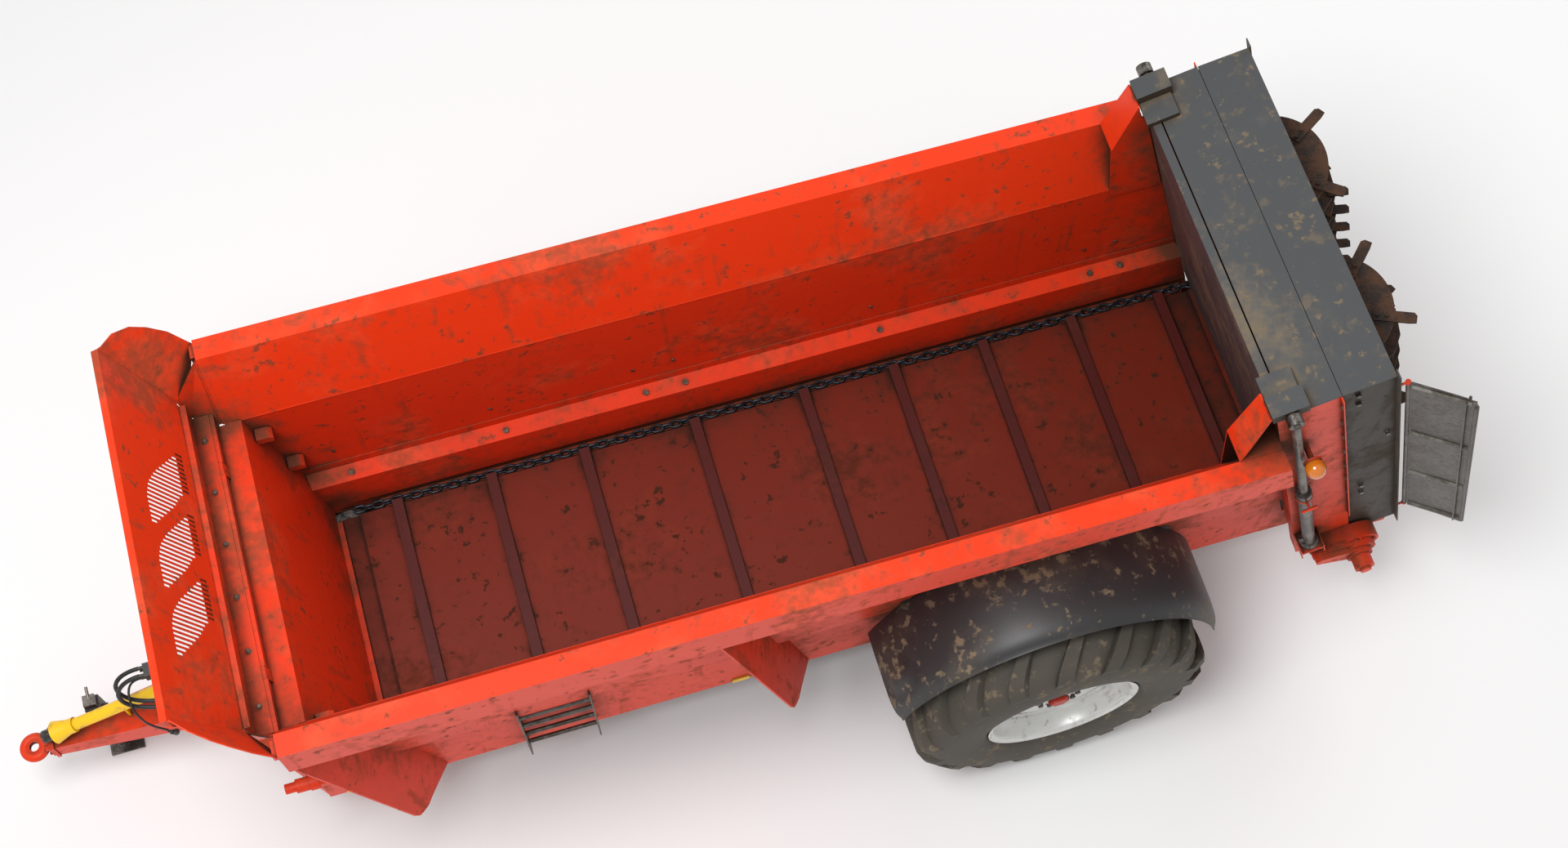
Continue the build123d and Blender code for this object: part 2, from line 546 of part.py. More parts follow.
def step():
    """Ladder on the left side: two upright plates and four round rungs."""
    wall = BOX_HALF_WIDTH + SHEET
    y0, y1 = STEP_Y
    z0, z1 = STEP_Z
    pieces = []
    for x in STEP_X:
        pieces.append(slab([(x, y0, z0), (x, y1, z0), (x, y1, z1), (x, wall, z1), (x, wall, GUARD_HIGH - 24), (x, y0, GUARD_SHOULDER - 20)],
                           (PLATE, 0, 0)))
        pieces.append(box((x, x + PLATE), (CHASSIS_OUTER, y0 + 1), (z0 + 30, z0 + 80)))
        pieces.append(box((x, x + PLATE), (CHASSIS_OUTER, y0 + 1), (z0 + 280, z0 + 330)))
    for z in RUNGS:
        pieces.append(rod((STEP_X[0] + 1, 765, z), (STEP_X[1] + PLATE - 1, 765, z), 12))
    return [fuse(*pieces)]


FENDER_R = 885
FENDER_Y = (772, 1250)
FENDER_ANGLES = (16, 164)


def arch(radius, thickness, y, angles):
    """Part of a ring over the wheel."""
    inner, outer = radius, radius + thickness
    points = []
    steps = 18
    for r, order in ((outer, range(steps + 1)), (inner, range(steps, -1, -1))):
        for i in order:
            a = math.radians(angles[0] + (angles[1] - angles[0]) * i / steps)
            points.append((r * math.cos(a), y[0], AXLE_Z + r * math.sin(a)))
    return slab(points, (0, y[1] - y[0], 0))


def fenders():
    """Plastic mudguards: an arch over each wheel with a turned-down outer lip."""
    skin = arch(FENDER_R, 7, FENDER_Y, FENDER_ANGLES)
    lip = arch(FENDER_R - 32, 39, (FENDER_Y[1] - 7, FENDER_Y[1]), FENDER_ANGLES)
    return both(fuse(skin, lip))


def fender_stays():
    """Steel arms from the box wall that carry the mudguards."""
    wall = BOX_HALF_WIDTH + SHEET
    parts = []
    for angle in (40.67, 90, 139.33):
        a = math.radians(angle)
        r = FENDER_R - 15.5
        x, z = r * math.cos(a), AXLE_Z + r * math.sin(a)
        arm = fuse(rod((x, wall, z), (x, FENDER_Y[1] - 60, z), 15),
                   rod((x, wall, z), (x, wall + 6, z), 42))
        parts += both(arm)
    return parts


# ---- towing end ---------------------------------------------------------------------------------------
NOSE_X = 4960
NOSE_BACK = 4140
NOSE_HALF = 130
NOSE_TOP = 745


def drawbar():
    """Tapered box nose that divides into two legs running to the chassis rails."""
    front = [(NOSE_X, s * 55, z) for s, z in ((-1, 500), (1, 500), (1, 616), (-1, 616))]
    back = [(NOSE_BACK, s * NOSE_HALF, z) for s, z in ((-1, 525), (1, 525), (1, NOSE_TOP), (-1, NOSE_TOP))]
    nose = Solid.make_loft([Wire.make_polygon([Vector(*p) for p in front], close=True),
                            Wire.make_polygon([Vector(*p) for p in back], close=True)], ruled=True)
    legs = []
    for s in (1, -1):
        legs.append(slab([(NOSE_BACK + 20, s * 20, 600), (NOSE_BACK + 20, s * 100, 600),
                          (CHASSIS_FRONT, s * (CHASSIS_OUTER - PLATE), 600), (CHASSIS_FRONT, s * 560, 600),
                          (NOSE_BACK - 50, s * 20, 600)], (0, 0, 145)))
    bar = fuse(nose, *legs)
    bolt_plate = box((NOSE_X, NOSE_X + 18), (-62, 62), (490, 626))
    return [fuse(bar, bolt_plate)]


def tow_eye():
    """Bolted-on round ring eye on a shank, lying flat."""
    major = EYE_BORE + EYE_RING
    ring = Solid.make_torus(major, EYE_RING, Plane((EYE_X, 0, EYE_Z)))
    bore = rod((EYE_X, 0, EYE_Z - 30), (EYE_X, 0, EYE_Z + 30), EYE_BORE)
    sleeve = rod((EYE_X, 0, EYE_Z - 18), (EYE_X, 0, EYE_Z + 18), EYE_BORE + 14)
    shank = rod((NOSE_X + 18, 0, EYE_Z), (EYE_X - major, 0, EYE_Z), 27)
    flange = box((NOSE_X + 18, NOSE_X + 30), (-56, 56), (EYE_Z - 48, EYE_Z + 58))
    bolts = [hexbolt((NOSE_X + 30, y, EYE_Z + z), (1, 0, 0), 24, 13) for y in (-38, 38) for z in (-32, 40)]
    return [fuse(fuse(ring, sleeve, shank, flange, *bolts) - bore)]


def pto_line(x):
    """Point of the drive shaft's centre line at X."""
    return (x, 0, PTO_FRONT[2] + (x - PTO_FRONT[0]) * PTO_SLOPE)


PTO_TUBE = 32
PTO_BORE = 17.5


def pto_guard():
    """Yellow guard tube with a bell at each end. It stays still while the shaft turns inside it."""
    a, b = pto_line(PTO_REAR_X + 110), pto_line(PTO_FRONT[0] - 144)
    tube = rod(a, b, PTO_TUBE, PTO_TUBE - 4)
    bells = []
    for start, end in ((pto_line(PTO_REAR_X + 112), pto_line(PTO_REAR_X + 30)), (pto_line(PTO_FRONT[0] - 146), pto_line(PTO_FRONT[0] - 64))):
        plane = Plane(Vector(*start), z_dir=Vector(*end) - Vector(*start))
        length = (Vector(*end) - Vector(*start)).length
        cone = Solid.make_cone(PTO_TUBE + 6, 60, length, plane)
        inside = Solid.make_cone(PTO_TUBE + 1, 55, length, plane)
        bells.append(cone - inside)
    rings = [rod(pto_line(x), pto_line(x + 40), PTO_TUBE + 8, PTO_TUBE - 4) for x in (PTO_REAR_X + 95, PTO_FRONT[0] - 175)]
    hang = pto_line(LEG[0] - 194)
    top = hang[2] - PTO_TUBE * 1.075
    foot = 616 + (NOSE_TOP - 616) * (NOSE_X - LEG[0] + 200) / (NOSE_X - NOSE_BACK)
    support = box((LEG[0] - 200, LEG[0] - 188), (-18, 18), (foot, top))
    return [fuse(tube, *bells, *rings), support]


def pto_shaft():
    """Inner shaft with a yoke at each end. The front yoke's splined bore takes a tractor's shaft."""
    front, back = Vector(*PTO_FRONT), Vector(*pto_line(PTO_REAR_X))
    way = (front - back).normalized()
    bar = rod(tuple(back + way * 20), tuple(front - way * 60), 24)
    ends = []
    for base, s in ((front, -1), (back, 1)):
        collar = rod(tuple(base + way * 62 * s), tuple(base), 34)
        ends.append(collar)
    whole = fuse(bar, *ends)
    return [whole - rod(tuple(front - way * 58), tuple(front + way * 5), PTO_BORE)]


def drop_gearbox():
    """Casing that carries the drive from the tractor's shaft down to the one under the floor."""
    x0, x1 = PTO_REAR_X - 150, PTO_REAR_X - 22
    top = pto_line(PTO_REAR_X)[2]
    case = slab([(x0, -95, 480), (x0, 95, 480), (x0, 115, 560), (x0, 95, top + 60), (x0, 60, top + 105), (x0, -60, top + 105),
                 (x0, -95, top + 60), (x0, -115, 560)], (x1 - x0, 0, 0))
    ribs = [box((x0 + 20, x1 - 20), (s * 96, s * 110), (720, 1000)) for s in (1, -1)]
    mount = box((CHASSIS_FRONT, x0 + 1), (-70, 70), (640, 840))
    boss = rod((x0 - 30, 0, SHAFT_Z), (x0 + 1, 0, SHAFT_Z), 62)
    socket = rod((x0 - 31, 0, SHAFT_Z), (x0 + 60, 0, SHAFT_Z), SHAFT_RADIUS + FIT)
    face = Vector(*pto_line(PTO_REAR_X))
    way = (Vector(*PTO_FRONT) - face).normalized()
    neck = rod(tuple(face - way * 60), tuple(face - way * CLEAR), 46)
    return [fuse(case, *ribs, mount, boss, neck) - socket]


def driveline():
    """Long shaft under the floor from the drop gearbox to the beater gearbox."""
    front, back = PTO_REAR_X - 150 + 58, TEE_X[1] - 58
    shaft = rod((back, 0, SHAFT_Z), (front, 0, SHAFT_Z), SHAFT_RADIUS)
    collars = [rod((x, 0, SHAFT_Z), (x + 90, 0, SHAFT_Z), 48) for x in (TEE_X[1] + 60, 700, 2200, PTO_REAR_X - 300)]
    return [fuse(shaft, *collars)]


TEE_X = (-1975, -1815)
REAR_BEAM_X = -1760


def parking_sleeve():
    """Square sleeve beside the drawbar with its clamp plate and pin."""
    x, y = LEG
    half = LEG_SIZE / 2
    outer = half + 8
    sleeve = box((x - outer, x + outer), (y - outer, y + outer), (470, 640)) \
        - box((x - half - CLEAR, x + half + CLEAR), (y - half - CLEAR, y + half + CLEAR), (460, 650))
    plate = box((x - 50, x + 50), (y + outer - 1, -80.2), (525, 600))
    pin = rod((x - outer - 26, y, 560), (x - outer, y, 560), 9)
    return [fuse(sleeve, plate, pin)]


def parking_leg():
    """Leg with a square foot, a lifting handle and a capped top."""
    x, y = LEG
    half = LEG_SIZE / 2
    tube = box((x - half, x + half), (y - half, y + half), (12, 690))
    foot = box((x - 90, x + 90), (y - 90, y + 90), (0, 14))
    handle = rod((x, y, 680), (x, y - 70, 700), 8)
    return [fuse(tube, foot, handle)]


def hose_holder():
    """Block that parks the hose ends, on an arm from the drop gearbox's side of the headboard."""
    x, y, z = HOLDER
    a, b, c = HOLDER_SIZE
    block = box((x - a / 2, x + a / 2), (y - b / 2, y + b / 2), (z - c / 2, z + c / 2))
    rear_end = UPRIGHT_X + HEAD_SLOPE * (z - CHASSIS_TOP) + 56
    arm = box((rear_end - 6, x - a / 2 + 2), (HOLDER_ARM_Y - 20, HOLDER_ARM_Y + 20), (z - 20, z + 20))
    elbow = box((x - a / 2 - 40, x - a / 2 + 2), (y - b / 2, HOLDER_ARM_Y + 20), (z - 20, z + 20))
    cross = box((rear_end - 6, rear_end + 34), (-480, 480), (z - 20, z + 20))
    studs = [rod((x + a / 2 - 2, y + dy, z + dz), (x + a / 2 + 24, y + dy, z + dz), 9) for dy in (-20, 20) for dz in (-16, 16)]
    return [fuse(block, arm, elbow, cross, *studs)]


HOLDER_ARM_Y = 150


# ---- rear unit ----------------------------------------------------------------------------------------
def rear_sides():
    """Side plates of the rear frame: a red front plate, a flanged post and a recessed rear panel."""
    t = PLATE
    y0 = REAR_HALF_WIDTH
    low = REAR_BOTTOM_H
    under = HOOD_SEAM_H - SHEET
    front = rear_box((-4, HOOD_SEAM), (y0, y0 + t), (low, under))
    post = rear_box((HOOD_SEAM - 6, HOOD_SEAM), (y0, y0 + 38), (low + 420, under))
    step_in = rear_box((HOOD_SEAM - 6, HOOD_SEAM), (y0 - 12, y0 + t), (low, under - 1))
    close = rear_box((-4, 4), (BOX_HALF_WIDTH + SHEET + GUIDE_DEPTH, y0 + 1), (low + 30, HOOD_SEAM_H - 30))
    side = fuse(front, post, step_in, close)
    side -= rod((DRIVE_X, y0 - 40, DRIVE_Z), (DRIVE_X, y0 + 40, DRIVE_Z), BEARING_R + 12)
    tie = box((CHASSIS_REAR, CHASSIS_REAR + 120), (CHASSIS_OUTER, y0 - 12), (CHASSIS_BOTTOM + 90, CHASSIS_TOP - PLATE))
    return both(fuse(side, tie))


def rear_panels():
    """Recessed panels behind the red side plates, each ending in an outward flange."""
    y0, t = REAR_HALF_WIDTH, PLATE
    low = REAR_BOTTOM_H
    outline = [(HOOD_SEAM, low), (HOOD_SEAM, HOOD_SEAM_H - SHEET), (HOOD_REAR, HOOD_REAR_H - SHEET), (HOOD_REAR, low)]
    panel = slab([tuple(rear(n, y0 - 12, h)) for n, h in outline], (0, t, 0))
    flange = rear_box((HOOD_REAR - 6, HOOD_REAR), (y0 - 12, y0 + 36), (low, HOOD_REAR_H + 40))
    return both(fuse(panel, flange))


def hood_cover():
    """Two cover sheets over the beaters with a seam between them, each with a turned-down outer edge."""
    t = SHEET
    half, lip = REAR_HALF_WIDTH + 8, REAR_HALF_WIDTH - 14
    n0, n1 = DOOR_THICKNESS + 8, HOOD_REAR - 7
    sheets = []
    for (a, ha), (b, hb), edge in (((n0, HOOD_SEAM_H), (HOOD_SEAM, HOOD_SEAM_H), (n0, n0 + t)),
                                   ((HOOD_SEAM + 3, HOOD_SEAM_H), (n1, HOOD_REAR_H + 0.4), (n1 - t, n1))):
        flat = slab([tuple(rear(a, -half, ha)), tuple(rear(b, -half, hb)), tuple(rear(b, -half, hb - t)), tuple(rear(a, -half, ha - t))],
                    (0, 2 * half, 0))
        high = HOOD_SEAM_H if a == n0 else HOOD_REAR_H
        sheets.append(fuse(flat, rear_box(edge, (-lip, lip), (high - 60, high - 3))))
    return sheets


def corner_gussets():
    """Folded plates between the rail's end and the rear frame."""
    top = rear(-36, 0, DOOR_TOP + 60)
    y0, y1 = BOX_HALF_WIDTH - PLATE, RAIL_INNER + 2
    foot = (GUSSET_X, RAIL_TOP)
    face = slab([(foot[0], y0, foot[1]), (foot[0], y1, foot[1]), (top.X, y1 - 26, top.Z), (top.X, y0, top.Z)], (-PLATE, 0, 0))
    low = rear(-8, 0, -640)
    inner = slab([(foot[0], y0, foot[1]), (top.X, y0, top.Z), (top.X - PLATE, y0, top.Z), tuple(rear(-32, y0, 130)), tuple(rear(-8, y0, 60)),
                  (low.X, y0, low.Z), (foot[0] - 60, y0, low.Z)], (0, PLATE, 0))
    shelf = slab([(foot[0], y0, foot[1]), (rear_x(-8, RAIL_TOP), y0, foot[1]), (rear_x(-8, RAIL_TOP), y1, foot[1]),
                  (foot[0], y1, foot[1])], (0, 0, PLATE))
    return both(fuse(face, inner, shelf))


GUIDE_DEPTH = 34


def door_guides():
    """Channels at the ends of the side walls that hold the door's edges."""
    y0, y1 = BOX_HALF_WIDTH + CLEAR, BOX_HALF_WIDTH + SHEET + GUIDE_DEPTH
    channel = rear_box((-4, DOOR_THICKNESS + 6), (y0, y1), (-1750, HOOD_SEAM_H - 60))
    slot = rear_box((-1.0, DOOR_THICKNESS + 1.0), (y0 - 5, DOOR_HALF_WIDTH + 3), (-1800, HOOD_SEAM_H))
    return both(channel - slot)


def door():
    """Slurry door: a flat box panel with a folded top edge and stiffening ribs behind."""
    low = -1700
    panel = rear_box((0, 8), (-DOOR_HALF_WIDTH, DOOR_HALF_WIDTH), (low, DOOR_TOP))
    inside = BOX_HALF_WIDTH - 14
    frame = [rear_box((7, DOOR_THICKNESS), (-inside, inside), (h, h + 50)) for h in (low, low + 900, DOOR_TOP - 50)]
    ends = [rear_box((7, DOOR_THICKNESS), (s * (DOOR_HALF_WIDTH - 40), s * DOOR_HALF_WIDTH), (low, DOOR_TOP)) for s in (1, -1)]
    return [fuse(panel, *frame, *ends)]


BRACKET_H = DOOR_TOP + 32


def door_brackets():
    """Lifting brackets: a plate on the door's top edge and a box out to the lift rod's pin."""
    plate = rear_box((-23, 131), (669, 800), (DOOR_TOP, BRACKET_H))
    plate -= rear_box((DOOR_THICKNESS + 2, 140), (660, 810), (DOOR_TOP - 5, DOOR_TOP + 8))
    case = rear_box((-26, 142), (785, 889), (BRACKET_H - 16, 235))
    pin = rod(tuple(rear(CYLINDER_N, 880, 205)), tuple(rear(CYLINDER_N, CYLINDER_Y + 34, 205)), 15)
    return both(fuse(plate, case, pin))


def lift_rods():
    """Rods that lift the door, each with an eye on the bracket's pin."""
    eye = rod(tuple(rear(CYLINDER_N, CYLINDER_Y - 24, 205)), tuple(rear(CYLINDER_N, CYLINDER_Y + 24, 205)), 36, 15.05)
    bar = rod(tuple(rear(CYLINDER_N, CYLINDER_Y, ROD_END)), tuple(rear(CYLINDER_N, CYLINDER_Y, 172)), ROD_RADIUS)
    return both(fuse(eye, bar))


CYLINDER_LOW = -1740
CYLINDER_HIGH = -850
ROD_END = CYLINDER_HIGH - 55 - DOOR_LIFT


def cylinder_barrels():
    """Barrels of the door's lift cylinders, with a gland at the top and a seat at the foot."""
    at = [tuple(rear(CYLINDER_N, CYLINDER_Y, h)) for h in (CYLINDER_LOW, CYLINDER_LOW + 20, CYLINDER_HIGH - 50, CYLINDER_HIGH)]
    barrel = fuse(rod(at[0], at[3], BARREL_RADIUS), rod(at[0], at[1], BARREL_RADIUS + 16), rod(at[2], at[3], BARREL_RADIUS + 7))
    ports = [rod(tuple(rear(CYLINDER_N, CYLINDER_Y, h)), tuple(rear(CYLINDER_N - 52, CYLINDER_Y, h)), 13) for h in (CYLINDER_LOW + 70,)]
    barrel = fuse(barrel, *ports)
    top = tuple(rear(CYLINDER_N, CYLINDER_Y, CYLINDER_HIGH + 5))
    return both(barrel - rod(tuple(rear(CYLINDER_N, CYLINDER_Y, ROD_END - 6)), top, ROD_RADIUS + FIT))


def cylinder_feet():
    """Brackets on the side plate: the cylinder's foot channel, its clamp with a T bolt, and the lamp arm."""
    y0 = REAR_HALF_WIDTH + PLATE
    foot = rear_box((CYLINDER_N - 62, CYLINDER_N + 62), (y0, CYLINDER_Y + 56), (CYLINDER_LOW - 14, CYLINDER_LOW))
    web = [rear_box((CYLINDER_N + s * 62 - 6, CYLINDER_N + s * 62), (y0, CYLINDER_Y + 56), (CYLINDER_LOW - 80, CYLINDER_LOW + 26))
           for s in (-0.9, 1)]
    h = CYLINDER_HIGH - 78
    outer = BARREL_RADIUS + 9
    band = rod(tuple(rear(CYLINDER_N, CYLINDER_Y, h)), tuple(rear(CYLINDER_N, CYLINDER_Y, h + 24)), outer, BARREL_RADIUS)
    ear = rear_box((CYLINDER_N - 12, CYLINDER_N + 12), (y0, CYLINDER_Y - BARREL_RADIUS - 2), (h, h + 24))
    tee = fuse(rod(tuple(rear(CYLINDER_N, CYLINDER_Y + outer - 2, h + 12)), tuple(rear(CYLINDER_N, CYLINDER_Y + outer + 34, h + 12)), 7),
               rod(tuple(rear(CYLINDER_N - 40, CYLINDER_Y + outer + 34, h + 12)), tuple(rear(CYLINDER_N + 40, CYLINDER_Y + outer + 34, h + 12)), 8))
    lamp = Vector(*LAMP)
    arm = fuse(rod((lamp.X, y0, lamp.Z), (lamp.X, lamp.Y - 38, lamp.Z), 14), rod((lamp.X, lamp.Y - 42, lamp.Z), (lamp.X, lamp.Y - 30, lamp.Z), 44))
    return both(fuse(foot, *web)) + both(fuse(band, ear, tee)) + [arm]


LAMP = (-1140, 1000, 2345)
LAMP_RADIUS = 48


def lamp_dome():
    """Round marker lamp on its arm, on the left side only."""
    x, y, z = LAMP
    dome = Solid.make_sphere(LAMP_RADIUS, Plane((x, y, z)))
    dome -= box((x - 60, x + 60), (y - 100, y - 30), (z - 60, z + 60))
    return [dome]


def beater_pan():
    """Sloping floor under the beaters with an opening for each shaft, carried by the side panels."""
    pan = rear_box((262, HOOD_REAR - 8), (-REAR_HALF_WIDTH + 12, REAR_HALF_WIDTH - 12), (PAN_H - PLATE, PAN_H))
    for s in (1, -1):
        pan -= rod(tuple(rear(BEATER_N, s * BEATER_Y, PAN_H - 30)), tuple(rear(BEATER_N, s * BEATER_Y, PAN_H + 30)), BEATER_TUBE + 6)
    return [pan]


GEARBOX_TOP = PAN_H - PLATE
GEARBOX_LOW = PAN_H - 190


def beater_gearboxes():
    """A right-angle gearbox under each beater, joined by cross tubes to the one on the long shaft."""
    parts = []
    for s in (1, -1):
        y = s * BEATER_Y
        parts.append(rear_box((BEATER_N - 95, BEATER_N + 95), (y - 100, y + 100), (GEARBOX_LOW, GEARBOX_TOP - 30)))
        parts.append(rod(tuple(rear(BEATER_N, y, GEARBOX_TOP - 31)), tuple(rear(BEATER_N, y, GEARBOX_TOP)), 110))
    mid = (TEE_X[0] + TEE_X[1]) / 2
    level = rear(BEATER_N, 0, (GEARBOX_LOW + GEARBOX_TOP - 30) / 2)
    parts.append(rod((level.X, -BEATER_Y, level.Z), (level.X, BEATER_Y, level.Z), 52))
    tee = box(TEE_X, (-105, 105), (SHAFT_Z - 85, level.Z + 70))
    boss = rod((TEE_X[1] - 1, 0, SHAFT_Z), (TEE_X[1] + 40, 0, SHAFT_Z), 62)
    mount = box((TEE_X[1] - 1, REAR_BEAM_X), (-60, 60), (640, 800))
    whole = fuse(*parts, tee, boss, mount)
    whole -= rod((TEE_X[1] - 60, 0, SHAFT_Z), (TEE_X[1] + 41, 0, SHAFT_Z), SHAFT_RADIUS + FIT)
    for s in (1, -1):
        whole -= rod(tuple(rear(BEATER_N, s * BEATER_Y, GEARBOX_TOP - 90)), tuple(rear(BEATER_N, s * BEATER_Y, GEARBOX_TOP + 5)), STUB_R + FIT)
    return [whole]


STUB_R = 32
TOP_BEARING = (-70, -20)


def top_bearings():
    """Cross beam under the hood with a bearing for each beater."""
    beam = rear_box((BEATER_N - 50, BEATER_N + 50), (-REAR_HALF_WIDTH + 12, REAR_HALF_WIDTH - 12), (TOP_BEARING[1], TOP_BEARING[1] + 80))
    beam -= rear_box((BEATER_N - 44, BEATER_N + 44), (-REAR_HALF_WIDTH, REAR_HALF_WIDTH), (TOP_BEARING[1] + 6, TOP_BEARING[1] + 74))
    housings = [rod(tuple(rear(BEATER_N, s * BEATER_Y, TOP_BEARING[0])), tuple(rear(BEATER_N, s * BEATER_Y, TOP_BEARING[1] + 1)), 70)
                for s in (1, -1)]
    whole = fuse(beam, *housings)
    for s in (1, -1):
        whole -= rod(tuple(rear(BEATER_N, s * BEATER_Y, TOP_BEARING[0] - 5)), tuple(rear(BEATER_N, s * BEATER_Y, TOP_BEARING[1] - 8)), STUB_R + FIT)
    return [whole]


FLIGHT_R = 300
FLIGHT_PITCH = 420
FLIGHT_STEPS = 8


def beater(s):
    """Upright auger: a tube with stub shafts, stepped flights and a top disc, all welded together."""
    y = s * BEATER_Y

    def at(h, angle=0.0, radius=0.0):
        return rear(BEATER_N, y, h) + BACK * (radius * math.cos(angle)) + LEFT * (radius * math.sin(angle) * s)
    stub = rod(tuple(at(GEARBOX_TOP - 80)), tuple(at(TOP_BEARING[1] - 10)), STUB_R)
    tube = rod(tuple(at(PAN_H - 2)), tuple(at(TOP_BEARING[0] - 12)), BEATER_TUBE)
    discs = [rod(tuple(at(DISC_H - 10)), tuple(at(DISC_H)), DISC_RADIUS), rod(tuple(at(BEATER_LOW_H)), tuple(at(BEATER_LOW_H + 10)), DISC_RADIUS + 27)]
    pieces = [stub, tube, *discs]
    steps = int((DISC_H - BEATER_LOW_H - 160) / FLIGHT_PITCH * FLIGHT_STEPS)
    for start in (0.0, math.pi):
        for i in range(steps):
            h = BEATER_LOW_H + 60 + i * FLIGHT_PITCH / FLIGHT_STEPS
            a0 = start + 2 * math.pi * i / FLIGHT_STEPS
            a1 = start + 2 * math.pi * (i + 1.12) / FLIGHT_STEPS
            am = (a0 + a1) / 2
            edge = [at(h, a0, BEATER_TUBE - 12), at(h, a0, FLIGHT_R), at(h, am, FLIGHT_R), at(h, a1, FLIGHT_R), at(h, a1, BEATER_TUBE - 12)]
            pieces.append(slab([tuple(p) for p in edge], UP * 12))
    return [fuse(*pieces)]


def paddles(s):
    """Bolt-on throwing paddles: six on the top disc and pairs of teeth down the flights."""
    y = s * BEATER_Y
    parts = []

    def bar(h, angle, inner, outer, width, thick):
        way = BACK * math.cos(angle) + LEFT * math.sin(angle) * s
        across = way.cross(UP).normalized()
        base = rear(BEATER_N, y, h)
        corners = [base + way * inner - across * width / 2, base + way * (outer - 14) - across * width / 2,
                   base + way * outer - across * (width / 2 - 14), base + way * outer + across * (width / 2 - 4),
                   base + way * (outer - 30) + across * width / 2, base + way * inner + across * width / 2]
        blade = slab([tuple(c) for c in corners], UP * thick)
        bolts = [hexbolt(tuple(base + way * (inner + d) + UP * thick), tuple(UP), 17, 9) for d in (18, 58)]
        return fuse(blade, *bolts)
    for i in range(BEATER_PADDLES):
        parts.append(bar(DISC_H + 0.0, 2 * math.pi * i / BEATER_PADDLES + 0.5, DISC_RADIUS - 90, BEATER_TIP, 52, 10))
    for i in range(BEATER_PADDLES + 1):
        parts.append(bar(BEATER_LOW_H + 10, 2 * math.pi * i / (BEATER_PADDLES + 1), DISC_RADIUS - 60, BEATER_TIP, 60, 12))
    steps = int((DISC_H - BEATER_LOW_H - 160) / FLIGHT_PITCH * FLIGHT_STEPS)
    for start in (0.0, math.pi):
        for i in range(1, steps, 2):
            h = BEATER_LOW_H + 60 + i * FLIGHT_PITCH / FLIGHT_STEPS + 12
            angle = start + 2 * math.pi * (i + 0.56) / FLIGHT_STEPS
            parts.append(bar(h, angle, FLIGHT_R - 95, BEATER_TIP - 14, 46, 9))
    return parts


def flap():
    """Side deflector on a leaning hinge, with three rib channels and an upright rod."""
    n0, y0, h0 = FLAP_HINGE
    a = math.radians(FLAP_ANGLE)
    way = BACK * math.cos(a) + LEFT * math.sin(a)
    face = way.cross(UP).normalized()
    if face.Y > 0:
        face = face * -1
    hinge = rear(n0, y0, h0)

    def at(across, down, out=0.0):
        return tuple(hinge + way * across - UP * down + face * out)
    w, length = FLAP_WIDTH, FLAP_LENGTH
    outline = [at(14, 0), at(w - 60, 6), at(w - 18, 26), at(w, 80), at(w - 6, length - 20), at(w - 24, length), at(14, length - 40)]
    sheet = slab(outline, face * 4)
    knuckles = rod(at(0, 20), at(0, length - 60), 11)
    leaf = slab([at(0, 20, -2), at(20, 20, -2), at(20, length - 60, -2), at(0, length - 60, -2)], face * 8)
    ribs = [slab([at(14, d, 3.5), at(w - 14, d, 3.5), at(w - 14, d + 46, 3.5), at(14, d + 46, 3.5)], face * 15)
            for d in (60, length * 0.5 - 23, length - 150)]
    bar = rod(at(w - 46, 40, 22), at(w - 46, length - 40, 22), 7)
    return [fuse(sheet, knuckles, leaf, *ribs, bar)]


def flap_hinge():
    """Leaf on the rear flange that the deflector hangs from, fixed to the side panel."""
    n0, y0, h0 = FLAP_HINGE
    hinge = rear(n0, y0, h0)
    pieces = []
    for down in (4, FLAP_LENGTH - 58):
        a, b = hinge - UP * (down - 1 if down < 10 else down), hinge - UP * (down + (15 if down < 10 else 18))
        pieces.append(rod(tuple(a), tuple(b), 13))
        pieces.append(slab([tuple(a + BACK * 0 + LEFT * 4), tuple(a - BACK * 33 + LEFT * 4), tuple(b - BACK * 33 + LEFT * 4), tuple(b + LEFT * 4)],
                           (0, -8, 0)))
    return [fuse(*pieces[:2]), fuse(*pieces[2:])]


def floor_gearbox():
    """Stepped casting outside the left panel that drives the chain shaft, with its motor."""
    y0 = REAR_HALF_WIDTH + PLATE
    x, z = DRIVE_X, DRIVE_Z
    back = x - 215
    layers = []
    for depth, front_r, back_r in ((70, 46, 126), (105, 40, 96), (135, 34, 68)):
        layers.append(rod((x, y0, z), (x, y0 + depth, z), front_r))
        layers.append(rod((back, y0, z - 40), (back, y0 + depth + 12, z - 40), back_r))
        layers.append(slab([(x, y0, z + front_r * 0.96), (back, y0, z - 40 + back_r * 0.96), (back, y0, z - 40 - back_r * 0.96),
                            (x, y0, z - front_r * 0.96)], (0, depth, 0)))
    motor = fuse(rod((back, y0 + 120, z - 40), (back, y0 + 215, z - 40), 52), rod((back, y0 + 213, z - 40), (back, y0 + 232, z - 40), 30))
    bolts = [hexbolt((back + 100 * math.cos(a), y0 + 82, z - 40 + 100 * math.sin(a)), (0, 1, 0), 17, 10)
             for a in (math.radians(30 + 60 * i) for i in range(6))]
    case = fuse(*layers, motor, *bolts)
    return [case - rod((x, y0 - 1, z), (x, y0 + 55, z), DRIVE_SHAFT_R + FIT)]


DRIVE_SHAFT_R = 30


# ---- chain floor --------------------------------------------------------------------------------------
def slat_positions():
    xs = [FIRST_SLAT]
    for gap in SLAT_GAPS:
        xs.append(xs[-1] - gap * LINK_PAIR)
    return xs


